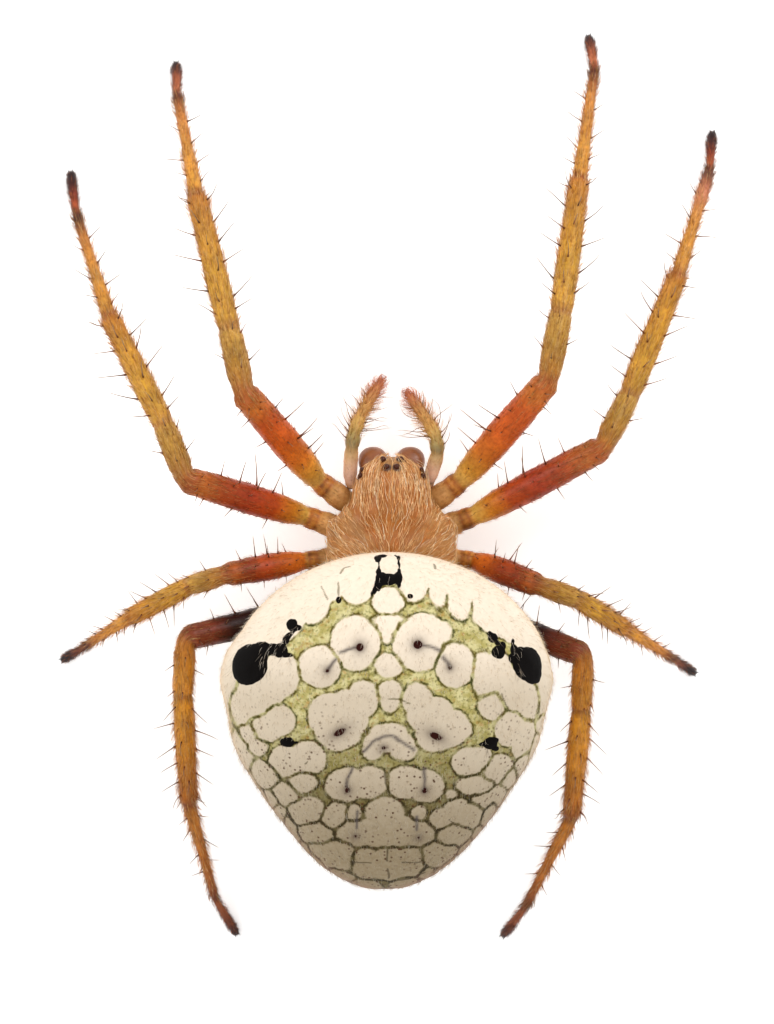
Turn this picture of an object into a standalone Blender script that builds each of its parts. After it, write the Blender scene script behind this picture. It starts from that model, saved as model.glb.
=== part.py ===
"""Orb weaver spider, adult female: a still, life-size model that stands on its eight feet.

Frame: +Z up, the head looks along -Y and the spider's left side is at +X.  The origin lies on
the floor under the middle of the outline.  Every size below is in millimetres and becomes
metres where a mesh is made.  The animal is one soft and shelly body without working joints,
so neighbouring parts are divided by thin cuts.
"""
import math

import bmesh
import bpy
from mathutils import Vector

MM = 0.001
CUT = 0.05                  # width of the thin cut between two parts
SIDES = (("left", 1), ("right", -1))

# Prosoma, the front body: lengths run along Y, heights are above the floor
HEAD_FRONT = -1.15
HEAD_CROWN = 0.20           # where the head is highest
THORAX_WIDEST = 1.87
CARAPACE_REAR = 4.05
CARAPACE_FLOOR = 2.43       # the flat underside, just above the coxae
CARAPACE_RIM = 2.62         # height of the widest edge
HEAD_HALF_WIDTH = 1.14
HEAD_FLARE = 0.08           # how much the head widens per millimetre towards the thorax
NOSE_START = -0.15          # in front of this the head rounds off
NECK = 0.30                 # behind this the head widens into the thorax
SHOULDER = 1.50             # where the thorax has its full width
THORAX_HALF_WIDTH = 2.12
CARAPACE_RISE = 1.22        # from the rim to the crown

# Abdomen: length and half-width as seen from above, and the heights of its outline
ABDOMEN_FRONT = 1.90
ABDOMEN_LENGTH = 10.86
ABDOMEN_HALF_WIDTH = 5.29
ABDOMEN_WIDEST = 4.18       # distance of the widest place behind the front
FRONT_TIP_HEIGHT = 6.2
REAR_TIP_HEIGHT = 4.4
BACK_RISE = 3.35            # from the line between the tips up to the back
BELLY_DROP = 4.35           # and down to the belly
BACK_PEAK = 4.0             # distance of the highest place behind the front
BELLY_DEEPEST = 5.2
SPINNERETS_AT = 10.15       # place along Y
EPIGYNE_AT = 4.75

# Legs: real lengths of femur, patella, tibia, metatarsus and tarsus, and the stoutness
LEG_LENGTHS = {
    1: (4.90, 2.30, 4.70, 3.90, 1.25),
    2: (4.95, 2.05, 4.20, 3.90, 1.50),
    3: (2.85, 1.42, 2.25, 2.00, 1.30),
    4: (4.80, 1.90, 3.75, 3.45, 1.55),
}
LEG_STOUTNESS = {1: 1.0, 2: 0.97, 3: 0.86, 4: 0.90}
COXA_ROOTS = {1: (1.05, 0.62, 1.90), 2: (1.25, 1.34, 1.90), 3: (1.22, 2.12, 1.88), 4: (0.95, 2.80, 1.88)}
HIPS = {1: (2.32, -0.35, 2.00), 2: (2.74, 0.80, 1.95), 3: (2.75, 2.25, 1.90), 4: (2.30, 3.75, 1.90)}
FOOT_HEIGHT = 0.10          # height of the tarsus's axis at its tip

# Pose, in degrees: headings turn outwards from straight ahead, pitches are above the level.
# The tarsus has no pitch of its own, because it reaches down to the floor.
LEG_POSES = {
    (1, "left"): ((40, 13, 14, 11, 2), (42, -25, -17, -31)),
    (1, "right"): ((41, 11, 8, 8, -10), (31, -13, -21, -22)),
    (2, "left"): ((73, 22, 27, 18, 8), (37, -22, -20, -26)),
    (2, "right"): ((62, 27, 22, 17, 4), (20, -18, -5, -25)),
    (3, "left"): ((100, 107, 118, 123, 121), (26, -31, -7, -36)),
    (3, "right"): ((111, 109, 122, 122, 124), (40, -21, -32, -30)),
    (4, "left"): ((103, 177, 183, 195, 211), (25, -13, -21, -23)),
    (4, "right"): ((111, 182, 185, 207, 217), (29, -22, -20, -20)),
}

# How thick each joint of a leg is: share of its length from the body's end, radius
COXA = ((0.0, 0.24), (0.10, 0.31), (0.34, 0.41), (0.58, 0.42), (0.70, 0.36), (0.82, 0.40), (1.0, 0.34))
FEMUR = ((0.0, 0.34), (0.05, 0.39), (0.18, 0.47), (0.45, 0.52), (0.74, 0.49), (0.92, 0.43), (1.0, 0.35))
PATELLA = ((0.0, 0.35), (0.12, 0.41), (0.45, 0.44), (0.85, 0.40), (1.0, 0.34))
TIBIA = ((0.0, 0.34), (0.06, 0.39), (0.28, 0.40), (0.60, 0.35), (0.92, 0.31), (1.0, 0.27))
METATARSUS = ((0.0, 0.27), (0.05, 0.29), (0.50, 0.27), (0.95, 0.26), (1.0, 0.25))
TARSUS = ((0.0, 0.25), (0.15, 0.26), (0.60, 0.25), (0.86, 0.24), (1.0, 0.17))
THINNEST = 0.25             # no leg is thinner than half a millimetre across

# Palps: where their joints lie, from the maxilla to the tip, as distance from the midline,
# place along Y and height; then the thickness along each joint, as for the legs
PALP_JOINTS = {
    "left": ((1.15, -0.14, 1.92), (1.28, -0.39, 2.08), (1.22, -1.36, 2.66), (1.14, -1.88, 2.70),
             (0.92, -2.44, 2.36), (0.22, -3.62, 1.30)),
    "right": ((1.15, -0.14, 1.92), (1.30, -0.39, 2.08), (1.55, -1.20, 2.62), (1.52, -1.68, 2.70),
              (1.24, -2.22, 2.36), (0.56, -3.18, 1.36)),
}
PALP_TROCHANTER = ((0.0, 0.20), (0.45, 0.25), (1.0, 0.22))
PALP_FEMUR = ((0.0, 0.22), (0.12, 0.25), (0.55, 0.26), (0.90, 0.26), (1.0, 0.22))
PALP_PATELLA = ((0.0, 0.22), (0.25, 0.27), (0.75, 0.27), (1.0, 0.22))
PALP_TIBIA = ((0.0, 0.22), (0.25, 0.27), (0.80, 0.28), (1.0, 0.24))
PALP_TARSUS = ((0.0, 0.24), (0.12, 0.28), (0.45, 0.28), (0.80, 0.22), (0.94, 0.15), (1.0, 0.07))

# Eyes: name, distance from the midline, place along Y, radius
EYES = (
    ("front_middle", 0.29, -1.03, 0.100),
    ("rear_middle", 0.17, -0.79, 0.092),
    ("front_side", 1.00, -0.69, 0.075),
    ("rear_side", 1.05, -0.50, 0.075),
)
EYE_SINK = 0.35             # share of its radius by which an eye's centre lies in the head

parts = bpy.data.collections.new("orb_weaver_spider")
cutters = bpy.data.collections.new("cutters")


def clear_scene():
    for thing in list(bpy.data.objects):
        bpy.data.objects.remove(thing, do_unlink=True)


def finish_of(name, colour, roughness):
    """A Principled material in one plain colour."""
    material = bpy.data.materials.new(name)
    material.use_nodes = True
    shader = material.node_tree.nodes["Principled BSDF"]
    shader.inputs["Base Color"].default_value = (*colour, 1.0)
    shader.inputs["Roughness"].default_value = roughness
    shader.inputs["Metallic"].default_value = 0.0
    return material


def place(name, bm, origin, material, collection=parts):
    """Turn a bmesh in millimetres into an object whose own origin is at the given point."""
    origin = Vector(origin)
    for vertex in bm.verts:
        vertex.co = (vertex.co - origin) * MM
    bmesh.ops.recalc_face_normals(bm, faces=bm.faces)
    mesh = bpy.data.meshes.new(name)
    bm.to_mesh(mesh)
    bm.free()
    mesh.shade_smooth()
    mesh.set_sharp_from_angle(angle=math.radians(50))
    mesh.materials.append(material)
    thing = bpy.data.objects.new(name, mesh)
    thing.location = origin * MM
    thing.parent = stance
    collection.objects.link(thing)
    return thing


def loft(name, rings, material, origin=None):
    """A closed solid through rings of equal count, capped at both ends; nothing sinks under the floor."""
    bm = bmesh.new()
    rows = []
    for ring in rings:
        rows.append([bm.verts.new((x, y, max(z, 0.0))) for x, y, z in ring])
    count = len(rows[0])
    for row, after in zip(rows, rows[1:]):
        for i in range(count):
            j = (i + 1) % count
            bm.faces.new((row[i], row[j], after[j], after[i]))
    bm.faces.new(rows[0])
    bm.faces.new(rows[-1])
    centre = sum((v.co for v in rows[0]), Vector()) / count
    return place(name, bm, origin or centre, material)


def steps(count):
    """Evenly spread shares from 0 to 1."""
    return [i / (count - 1) for i in range(count)]


def crowded(count):
    """Shares from 0 to 1 that lie closer together towards both ends."""
    return [(1 - math.cos(math.pi * t)) / 2 for t in steps(count)]


def smooth(t):
    t = min(max(t, 0.0), 1.0)
    return t * t * (3 - 2 * t)


def round_power(value, power):
    """A cosine or sine raised to a power with its sign kept, for fuller or slimmer ovals."""
    return math.copysign(abs(value) ** power, value)


def swell(distance, peak, length, power_before, power_after, lift=0.5):
    """Height of a bulging outline, 0 at both ends and 1 at its peak."""
    if distance < peak:
        t = (peak - distance) / peak
        return max(0.0, 1 - t ** power_before) ** lift
    t = (distance - peak) / (length - peak)
    return max(0.0, 1 - t ** power_after) ** lift


# ---- abdomen -------------------------------------------------------------------------------

def abdomen_section(distance):
    """Half-width, middle height, rise and drop at a distance behind the abdomen's front."""
    half = ABDOMEN_HALF_WIDTH * swell(distance, ABDOMEN_WIDEST, ABDOMEN_LENGTH, 1.8, 1.2)
    middle = FRONT_TIP_HEIGHT + (REAR_TIP_HEIGHT - FRONT_TIP_HEIGHT) * distance / ABDOMEN_LENGTH
    rise = BACK_RISE * swell(distance, BACK_PEAK, ABDOMEN_LENGTH, 1.9, 1.35)
    drop = BELLY_DROP * swell(distance, BELLY_DEEPEST, ABDOMEN_LENGTH, 1.3, 1.5, lift=0.62)
    return half, middle, rise, drop


def belly_height(along):
    """Height of the belly's midline at a place along Y."""
    _, middle, _, drop = abdomen_section(along - ABDOMEN_FRONT)
    return middle - drop


def make_abdomen():
    around = 32
    fullness = 0.94         # a power under 1 makes the sections a little fuller than ellipses
    rings = []
    for share in crowded(22)[1:-1]:
        half, middle, rise, drop = abdomen_section(share * ABDOMEN_LENGTH)
        ring = []
        for i in range(around):
            angle = 2 * math.pi * i / around
            x = half * round_power(math.cos(angle), fullness)
            z = round_power(math.sin(angle), fullness)
            z = middle + z * (rise if z > 0 else drop)
            ring.append((x, ABDOMEN_FRONT + share * ABDOMEN_LENGTH, z))
        rings.append(ring)
    skin = finish_of("abdomen_skin", (0.62, 0.55, 0.28), 0.45)
    loft("abdomen", rings, skin, origin=(0, ABDOMEN_FRONT + ABDOMEN_WIDEST, FRONT_TIP_HEIGHT - 1))


def make_spinnerets():
    """A short cone of six blunt spinnerets that have grown together, under the abdomen's rear."""
    lobes = 6
    start = Vector((0, SPINNERETS_AT, belly_height(SPINNERETS_AT) - CUT))
    lean = Vector((0, 0.45, -0.9)).normalized()
    across = Vector((1, 0, 0))
    along = lean.cross(across)
    stations = ((0.0, 0.62, 0.0), (0.22, 0.60, 0.05), (0.50, 0.50, 0.14), (0.78, 0.34, 0.20))
    rings = []
    for reach, radius, lobing in stations:
        ring = []
        for i in range(24):
            angle = 2 * math.pi * i / 24
            r = radius * (1 + lobing * math.cos(lobes * angle))
            ring.append(start + lean * reach + across * r * math.cos(angle) + along * r * math.sin(angle))
        rings.append(ring)
    # the first ring hugs the belly, with the thin cut between
    rings[0] = [(x, y, belly_height(y) - CUT) for x, y, z in rings[0]]
    loft("spinnerets", rings, finish_of("spinneret_skin", (0.20, 0.13, 0.07), 0.5))


def make_epigyne():
    """The small wrinkled tongue on the front of the belly."""
    # distance behind its root, half-width, thickness
    stations = ((0.0, 0.42, 0.30), (0.3, 0.40, 0.34), (0.7, 0.24, 0.30), (1.1, 0.12, 0.18))
    rings = []
    for distance, half, thick in stations:
        along = EPIGYNE_AT + distance
        top = belly_height(along) - CUT
        centre = top - thick / 2
        ring = []
        for i in range(10):
            angle = 2 * math.pi * i / 10
            ring.append((half * math.cos(angle), along, centre + thick / 2 * math.sin(angle)))
        rings.append(ring)
    loft("epigyne", rings, finish_of("epigyne_shell", (0.16, 0.08, 0.04), 0.35))


# ---- prosoma -------------------------------------------------------------------------------

def carapace_half_width(along):
    if along > THORAX_WIDEST:
        t = (along - THORAX_WIDEST) / (CARAPACE_REAR - THORAX_WIDEST)
        return THORAX_HALF_WIDTH * math.sqrt(max(0.0, 1 - 0.93 * t ** 2.4))
    shoulder = smooth((along - NECK) / (SHOULDER - NECK))
    half = HEAD_HALF_WIDTH + (THORAX_HALF_WIDTH - HEAD_HALF_WIDTH) * shoulder
    half += HEAD_FLARE * (along - HEAD_FRONT) * (1 - shoulder)
    nose = max(0.0, (NOSE_START - along) / (NOSE_START - HEAD_FRONT))
    return half * math.sqrt(1 - 0.9 * nose ** 3.5)


def carapace_rise(along):
    """Height of the crown line over the rim, with the dip between head and thorax."""
    if along < HEAD_CROWN:
        t = (HEAD_CROWN - along) / (HEAD_CROWN - HEAD_FRONT)
        return CARAPACE_RISE * math.sqrt(max(0.02, 1 - 0.97 * t ** 2.6))
    t = (along - HEAD_CROWN) / (CARAPACE_REAR - HEAD_CROWN)
    dip = 0.12 * math.exp(-((along - 1.25) / 0.45) ** 2)
    return CARAPACE_RISE * math.sqrt(1 - 0.95 * t ** 2.5) - dip


def carapace_top(x, along):
    """Height of the carapace's upper surface."""
    share = min(abs(x) / carapace_half_width(along), 1.0)
    return CARAPACE_RIM + carapace_rise(along) * math.sqrt(1 - share ** 2.2)


def make_carapace():
    arch = 15
    rings = []
    for share in crowded(20):
        along = HEAD_FRONT + share * (CARAPACE_REAR - HEAD_FRONT)
        half = carapace_half_width(along)
        lip = 0.82 * half
        ring = [(-lip, along, CARAPACE_FLOOR)]
        for t in steps(arch):
            angle = math.pi * (1 - t)
            x = half * math.cos(angle)
            ring.append((x, along, carapace_top(x, along)))
        ring.append((lip, along, CARAPACE_FLOOR))
        rings.append(ring)
    shell = finish_of("carapace_shell", (0.42, 0.17, 0.05), 0.45)
    carapace = loft("carapace", rings, shell, origin=(0, THORAX_WIDEST, CARAPACE_RIM))
    seats = carapace.modifiers.new("eye seats", "BOOLEAN")
    seats.operation = "DIFFERENCE"
    seats.solver = "EXACT"
    seats.operand_type = "COLLECTION"
    seats.collection = cutters


def surface_normal(x, along):
    """Outward direction of the carapace's upper surface."""
    d = 0.02
    slope_x = (carapace_top(x + d, along) - carapace_top(x - d, along)) / (2 * d)
    slope_y = (carapace_top(x, along + d) - carapace_top(x, along - d)) / (2 * d)
    return Vector((-slope_x, -slope_y, 1.0)).normalized()


def make_eyes():
    """Each eye is a ball that stands in a shallow round seat, cut square to the head's surface."""
    lens = finish_of("eye_lens", (0.02, 0.012, 0.01), 0.08)
    seat_sides = 10
    for side, sign in SIDES:
        for place_name, x, along, radius in EYES:
            surface = Vector((sign * x, along, carapace_top(x, along)))
            outwards = surface_normal(sign * x, along)
            centre = surface - outwards * radius * EYE_SINK
            bm = bmesh.new()
            bmesh.ops.create_icosphere(bm, subdivisions=2, radius=radius)
            bmesh.ops.translate(bm, verts=bm.verts, vec=centre)
            place(f"eye_{place_name}_{side}", bm, centre, lens)

            seat_radius = (radius + CUT / 2) / math.cos(math.pi / seat_sides)
            seat_depth = 4 * radius
            bm = bmesh.new()
            bmesh.ops.create_cone(bm, cap_ends=True, segments=seat_sides, radius1=seat_radius,
                                  radius2=seat_radius, depth=seat_depth)
            turn = outwards.to_track_quat("Z", "Y").to_matrix()
            bmesh.ops.rotate(bm, verts=bm.verts, cent=Vector(), matrix=turn)
            middle = centre + outwards * (seat_depth / 2 - radius - CUT / 2)
            bmesh.ops.translate(bm, verts=bm.verts, vec=middle)
            seat = place(f"seat_{place_name}_{side}", bm, middle, lens, cutters)
            seat.hide_render = True
            seat.display_type = "WIRE"


def upright_loft(name, stations, material, around=12):
    """A solid of level oval sections; each station is x, y, z, half-width and half-depth."""
    rings = []
    for x, y, z, half_x, half_y in stations:
        ring = []
        for i in range(around):
            angle = 2 * math.pi * i / around
            ring.append((x + half_x * math.cos(angle), y + half_y * math.sin(angle), z))
        rings.append(ring)
    return loft(name, rings, material)


def make_mouthparts():
    """Chelicerae with their fangs, and behind them the lip and the two maxillae."""
    red_shell = finish_of("chelicera_shell", (0.28, 0.07, 0.03), 0.3)
    fang_shell = finish_of("fang_shell", (0.03, 0.012, 0.01), 0.2)
    mouth_shell = finish_of("mouth_shell", (0.22, 0.10, 0.05), 0.45)
    top = CARAPACE_FLOOR - CUT
    upright_loft("labium", (
        (0, 0.02, 1.30, 0.14, 0.10), (0, 0.02, 1.36, 0.25, 0.20), (0, 0.04, 1.60, 0.28, 0.24),
        (0, 0.04, top, 0.26, 0.22)), mouth_shell)
    for side, sign in SIDES:
        upright_loft(f"chelicera_{side}", (
            (sign * 0.53, -0.80, top, 0.36, 0.34), (sign * 0.56, -0.87, top - 0.10, 0.45, 0.44),
            (sign * 0.57, -0.96, 2.05, 0.49, 0.48), (sign * 0.55, -0.96, 1.65, 0.47, 0.45),
            (sign * 0.50, -0.91, 1.28, 0.40, 0.37), (sign * 0.45, -0.86, 1.08, 0.29, 0.28),
            (sign * 0.43, -0.84, 1.02, 0.18, 0.18)), red_shell)
        upright_loft(f"maxilla_{side}", (
            (sign * 0.56, -0.02, 1.22, 0.13, 0.18), (sign * 0.60, -0.01, 1.30, 0.24, 0.31),
            (sign * 0.63, 0.00, 1.60, 0.27, 0.34), (sign * 0.66, 0.02, top, 0.24, 0.30)), mouth_shell)
        curve = ((0.47, -0.84, 0.96, 0.12), (0.46, -0.76, 0.86, 0.13), (0.36, -0.66, 0.78, 0.11),
                 (0.22, -0.58, 0.76, 0.07), (0.12, -0.54, 0.78, 0.04))
        fang = [(Vector((sign * x, y, z)), radius) for x, y, z, radius in curve]
        tube(f"fang_{side}", fang, fang_shell, around=8)


def make_sternum():
    """The heart-shaped plate between the coxae, with the soft wall above it."""
    rings = []
    for height, scale in ((1.50, 0.72), (1.56, 0.92), (1.70, 1.0), (CARAPACE_FLOOR - CUT, 0.96)):
        ring = []
        for i in range(24):
            angle = 2 * math.pi * i / 24
            along = 1.72 + 1.36 * math.sin(angle)
            taper = 1 - 0.40 * smooth((along - 1.2) / 2.0)
            x = 1.18 * math.cos(angle) * taper * scale
            ring.append((x, 1.72 + (along - 1.72) * scale, height))
        rings.append(ring)
    loft("sternum", rings, finish_of("sternum_shell", (0.10, 0.055, 0.03), 0.45))


def make_pedicel():
    """The thin waist between the front body and the abdomen."""
    stations = ((3.30, 2.05, 0.25), (3.62, 2.10, 0.30), (3.95, 2.22, 0.30), (4.30, 2.36, 0.28),
                (4.52, 2.44, 0.25))
    path = [(Vector((0, y, z)), radius) for y, z, radius in stations]
    tube("pedicel", path, finish_of("pedicel_skin", (0.20, 0.12, 0.06), 0.5), around=12)


# ---- legs and palps ------------------------------------------------------------------------

def ring_about(centre, direction, radius, around):
    """A ring of points square to a direction, with its first point on top."""
    side = direction.cross(Vector((0, 0, 1)))
    if side.length < 1e-4:
        side = Vector((1, 0, 0))
    side.normalize()
    up = side.cross(direction).normalized()
    ring = []
    for i in range(around):
        angle = 2 * math.pi * i / around
        ring.append(centre + up * radius * math.cos(angle) + side * radius * math.sin(angle))
    return ring


def tube(name, stations, material, around=10, cut_start=0.0, cut_end=0.0, lead_in=None, lead_out=None):
    """A round solid along its stations of centre and radius.

    The sections at both ends are mitred to the neighbours lead_in and lead_out, and moved
    inwards by the two cuts, so that two tubes which share a joint leave a thin gap there.
    """
    centres = [centre for centre, _ in stations]
    before = [lead_in or centres[0] * 2 - centres[1]] + centres[:-1]
    after = centres[1:] + [lead_out or centres[-1] * 2 - centres[-2]]
    rings = []
    for i, (centre, radius) in enumerate(stations):
        direction = (centre - before[i]).normalized() + (after[i] - centre).normalized()
        direction.normalize()
        shift = 0.0
        if i == 0:
            shift = cut_start
        if i == len(stations) - 1:
            shift = -cut_end
        rings.append(ring_about(centre + direction * shift, direction, radius, around))
    return loft(name, rings, material, origin=centres[0])


def towards(heading, pitch, sign):
    """Unit direction from a heading, counted outwards from straight ahead, and a pitch."""
    level = math.cos(pitch)
    return Vector((sign * math.sin(heading) * level, -math.cos(heading) * level, math.sin(pitch)))


def leg_joints(number, side, sign):
    """Centres of the leg's joints, from the coxa's root to the tip of the foot."""
    headings, pitches = LEG_POSES[number, side]
    root = Vector(COXA_ROOTS[number])
    hip = Vector(HIPS[number])
    root.x *= sign
    hip.x *= sign
    joints = [root, hip]
    for length, heading, pitch in zip(LEG_LENGTHS[number], headings, pitches):
        joints.append(joints[-1] + towards(math.radians(heading), math.radians(pitch), sign) * length)
    length = LEG_LENGTHS[number][-1]
    pitch = math.asin((FOOT_HEIGHT - joints[-1].z) / length)
    joints.append(joints[-1] + towards(math.radians(headings[-1]), pitch, sign) * length)
    return joints


def spread_out(start, end, profile, stoutness):
    """Stations of centre and radius along one joint of a leg, never slimmer than the thinnest."""
    stations = []
    for share, radius in profile:
        least = min(radius, THINNEST)
        stations.append((start.lerp(end, share), max(radius * stoutness, least)))
    return stations


def make_legs():
    femur_colours = {1: (0.50, 0.13, 0.03), 2: (0.42, 0.10, 0.03), 3: (0.50, 0.16, 0.04),
                     4: (0.20, 0.06, 0.03)}
    coxa_shell = finish_of("coxa_shell", (0.36, 0.20, 0.07), 0.45)
    tibia_shell = finish_of("tibia_shell", (0.48, 0.28, 0.07), 0.45)
    tarsus_shell = finish_of("tarsus_shell", (0.34, 0.16, 0.05), 0.45)
    for number, colour in femur_colours.items():
        femur_shell = finish_of(f"femur_{number}_shell", colour, 0.4)
        for side, sign in SIDES:
            name = f"leg_{number}_{side}"
            stout = LEG_STOUTNESS[number]
            joints = leg_joints(number, side, sign)
            runs = [spread_out(start, end, profile, stout) for start, end, profile in zip(
                joints, joints[1:], (COXA, FEMUR, PATELLA, TIBIA, METATARSUS, TARSUS))]
            coxa, femur, patella, tibia, metatarsus, tarsus = runs
            half_cut = CUT / 2
            tube(f"{name}_coxa", coxa, coxa_shell, cut_end=half_cut, lead_out=femur[1][0])
            tube(f"{name}_femur", femur, femur_shell, cut_start=half_cut, cut_end=half_cut,
                 lead_in=coxa[-2][0], lead_out=patella[1][0])
            tube(f"{name}_tibia", patella + tibia[1:], tibia_shell, cut_start=half_cut, cut_end=half_cut,
                 lead_in=femur[-2][0], lead_out=metatarsus[1][0])
            tube(f"{name}_tarsus", metatarsus + tarsus[1:], tarsus_shell, cut_start=half_cut,
                 lead_in=tibia[-2][0])


def make_palps():
    shell = finish_of("palp_shell", (0.50, 0.27, 0.10), 0.45)
    profiles = (PALP_TROCHANTER, PALP_FEMUR, PALP_PATELLA, PALP_TIBIA, PALP_TARSUS)
    for side, sign in SIDES:
        joints = [Vector((sign * x, y, z)) for x, y, z in PALP_JOINTS[side]]
        stations = []
        for start, end, profile in zip(joints, joints[1:], profiles):
            stations += spread_out(start, end, profile, 1.0)[1 if stations else 0:]
        tube(f"palp_{side}", stations, shell, around=8)


clear_scene()
bpy.context.scene.collection.children.link(parts)
bpy.context.scene.collection.children.link(cutters)
stance = bpy.data.objects.new("stance", None)
parts.objects.link(stance)
make_abdomen()
make_spinnerets()
make_epigyne()
make_eyes()
make_carapace()
make_sternum()
make_mouthparts()
make_pedicel()
make_legs()
make_palps()
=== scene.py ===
"""The looks of the orb weaver spider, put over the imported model: skins and shells, the markings
of the abdomen, the hairs, spines, claws and eyes.

Sizes are in millimetres and become metres where a mesh is made.  The head looks along -Y, the
spider's left side is at +X, and Z is the height above the floor.
"""
import math

import bpy
import numpy as np
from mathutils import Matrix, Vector


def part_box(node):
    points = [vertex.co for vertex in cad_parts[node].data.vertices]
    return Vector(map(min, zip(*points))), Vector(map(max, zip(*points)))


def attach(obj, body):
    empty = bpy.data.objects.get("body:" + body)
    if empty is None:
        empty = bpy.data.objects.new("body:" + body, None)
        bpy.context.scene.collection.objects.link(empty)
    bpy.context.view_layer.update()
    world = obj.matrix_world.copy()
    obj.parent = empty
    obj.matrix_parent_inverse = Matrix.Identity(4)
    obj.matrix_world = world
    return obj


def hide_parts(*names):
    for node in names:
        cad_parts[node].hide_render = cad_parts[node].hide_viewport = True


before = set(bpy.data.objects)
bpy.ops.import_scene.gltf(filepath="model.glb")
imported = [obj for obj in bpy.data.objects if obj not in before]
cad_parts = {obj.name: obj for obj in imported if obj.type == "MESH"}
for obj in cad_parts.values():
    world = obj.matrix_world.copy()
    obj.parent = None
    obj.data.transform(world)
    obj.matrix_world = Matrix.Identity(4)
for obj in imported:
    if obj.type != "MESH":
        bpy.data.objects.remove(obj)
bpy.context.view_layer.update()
MM = 0.001

# ---- The room ------------------------------------------------------------------------------
# A plain sheet of matt pale board is the floor.  An even sky and wide soft lamps light it, and
# the camera hangs straight above on a long lens, with the head towards the top of the view.
CAMERA_HEIGHT = 552.0
VIEW_LENGTH = 32.96             # what the view takes in lengthwise, at the view's level
VIEW_LEVEL = 2.0
VIEW_CENTRE = (0.08, 0.68)
SENSOR = 36.0
FLOOR_HALF = 2500.0
SKY_LIGHT = 0.62
BOARD_GLOW = 0.45
LAMP_AIM = 3.0                  # height of the point that the lamps face
# place, width and power in watts of each lamp
LAMPS = (((-130, -150, 190), 150, 0.30), ((150, -60, 170), 130, 0.16), ((20, 170, 210), 150, 0.10))


def tone(red, green, blue):
    """A colour named on the usual scale of 0 to 255, as the even light values a shader wants."""
    level = np.array((red, green, blue)) / 255
    return np.where(level > 0.04, ((level + 0.055) / 1.055) ** 2.4, level / 12.92)


def start_finish(name, roughness, gloss=0.5):
    """A new material with its node tree and its surface shader."""
    material = bpy.data.materials.new(name)
    material.use_nodes = True
    shader = material.node_tree.nodes["Principled BSDF"]
    shader.inputs["Roughness"].default_value = roughness
    shader.inputs["Specular IOR Level"].default_value = gloss
    return material, material.node_tree, shader


def feed(tree, socket, value):
    """Link another node's output to a socket, or set the socket to a colour or a number."""
    if isinstance(value, bpy.types.NodeSocket):
        tree.links.new(value, socket)
    elif isinstance(value, np.ndarray):
        socket.default_value = (*value, 1.0)
    else:
        socket.default_value = value


def add(tree, kind, inputs, output=0, **settings):
    """Add one node, feed its inputs, and return one of its outputs."""
    made = tree.nodes.new(kind)
    for key, value in settings.items():
        setattr(made, key, value)
    for key, value in inputs.items():
        feed(tree, made.inputs[key], value)
    return made.outputs[output]


def grain(tree, size, detail=2.0, stretch=(1, 1, 1)):
    """Smooth noise from 0 to 1 with bumps of about the given size."""
    where = add(tree, "ShaderNodeTexCoord", {}, "Object")
    where = add(tree, "ShaderNodeMapping", {"Vector": where, "Scale": stretch})
    return add(tree, "ShaderNodeTexNoise", {"Vector": where, "Scale": 1 / (size * MM), "Detail": detail})


def between(tree, value, low, high, start=0.0, end=1.0):
    """A soft step from start to end while a value goes from low to high."""
    return add(tree, "ShaderNodeMapRange", {"Value": value, "From Min": low, "From Max": high,
                                            "To Min": start, "To Max": end},
               interpolation_type="SMOOTHSTEP")


def sums(tree, operation, *values):
    """One step of arithmetic on numbers."""
    return add(tree, "ShaderNodeMath", dict(enumerate(values)), operation=operation)


def mixed(tree, share, first, second, kind="MIX"):
    """Two colours mixed by a share from 0 to 1."""
    made = tree.nodes.new("ShaderNodeMix")
    made.data_type = "RGBA"
    made.blend_type = kind
    for socket, value in zip((made.inputs[0], made.inputs[6], made.inputs[7]), (share, first, second)):
        feed(tree, socket, value)
    return made.outputs[2]


def painted(tree, name, output="Fac"):
    """A pattern that was worked out over the mesh, by its name."""
    return add(tree, "ShaderNodeAttribute", {}, output, attribute_name=name)


def roughen(tree, shader, height, depth, strength=0.6):
    """Let a height pattern of the given depth bend the surface's light."""
    bump = add(tree, "ShaderNodeBump", {"Height": height, "Distance": depth * MM, "Strength": strength})
    tree.links.new(bump, shader.inputs["Normal"])


board, tree, shader = start_finish("pale_board", 0.9, gloss=0.2)
board_tone = mixed(tree, grain(tree, 3.0), tone(246, 246, 245), tone(250, 250, 249))
feed(tree, shader.inputs["Base Color"], board_tone)
# light that comes through the board from below washes the shadows out
shader.inputs["Emission Color"].default_value = (1.0, 1.0, 1.0, 1.0)
shader.inputs["Emission Strength"].default_value = BOARD_GLOW
floor_mesh = bpy.data.meshes.new("floor")
reach = FLOOR_HALF * MM
floor_mesh.from_pydata([(-reach, -reach, 0), (reach, -reach, 0), (reach, reach, 0), (-reach, reach, 0)],
                       [], [(0, 1, 2, 3)])
floor_mesh.materials.append(board)
floor = bpy.data.objects.new("floor", floor_mesh)
bpy.context.collection.objects.link(floor)

scene = bpy.context.scene
scene.view_settings.view_transform = "Standard"
scene.world = bpy.data.worlds.new("even sky")
scene.world.use_nodes = True
sky = scene.world.node_tree.nodes["Background"]
sky.inputs["Color"].default_value = (1.0, 1.0, 1.0, 1.0)
sky.inputs["Strength"].default_value = SKY_LIGHT

for number, (spot, width, power) in enumerate(LAMPS):
    lamp_data = bpy.data.lights.new(f"soft_lamp_{number}", "AREA")
    lamp_data.size = width * MM
    lamp_data.energy = power
    lamp = bpy.data.objects.new(lamp_data.name, lamp_data)
    lamp.location = [value * MM for value in spot]
    ahead = Vector((0, 0, LAMP_AIM * MM)) - lamp.location
    lamp.rotation_euler = ahead.to_track_quat("-Z", "Y").to_euler()
    bpy.context.collection.objects.link(lamp)

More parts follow.
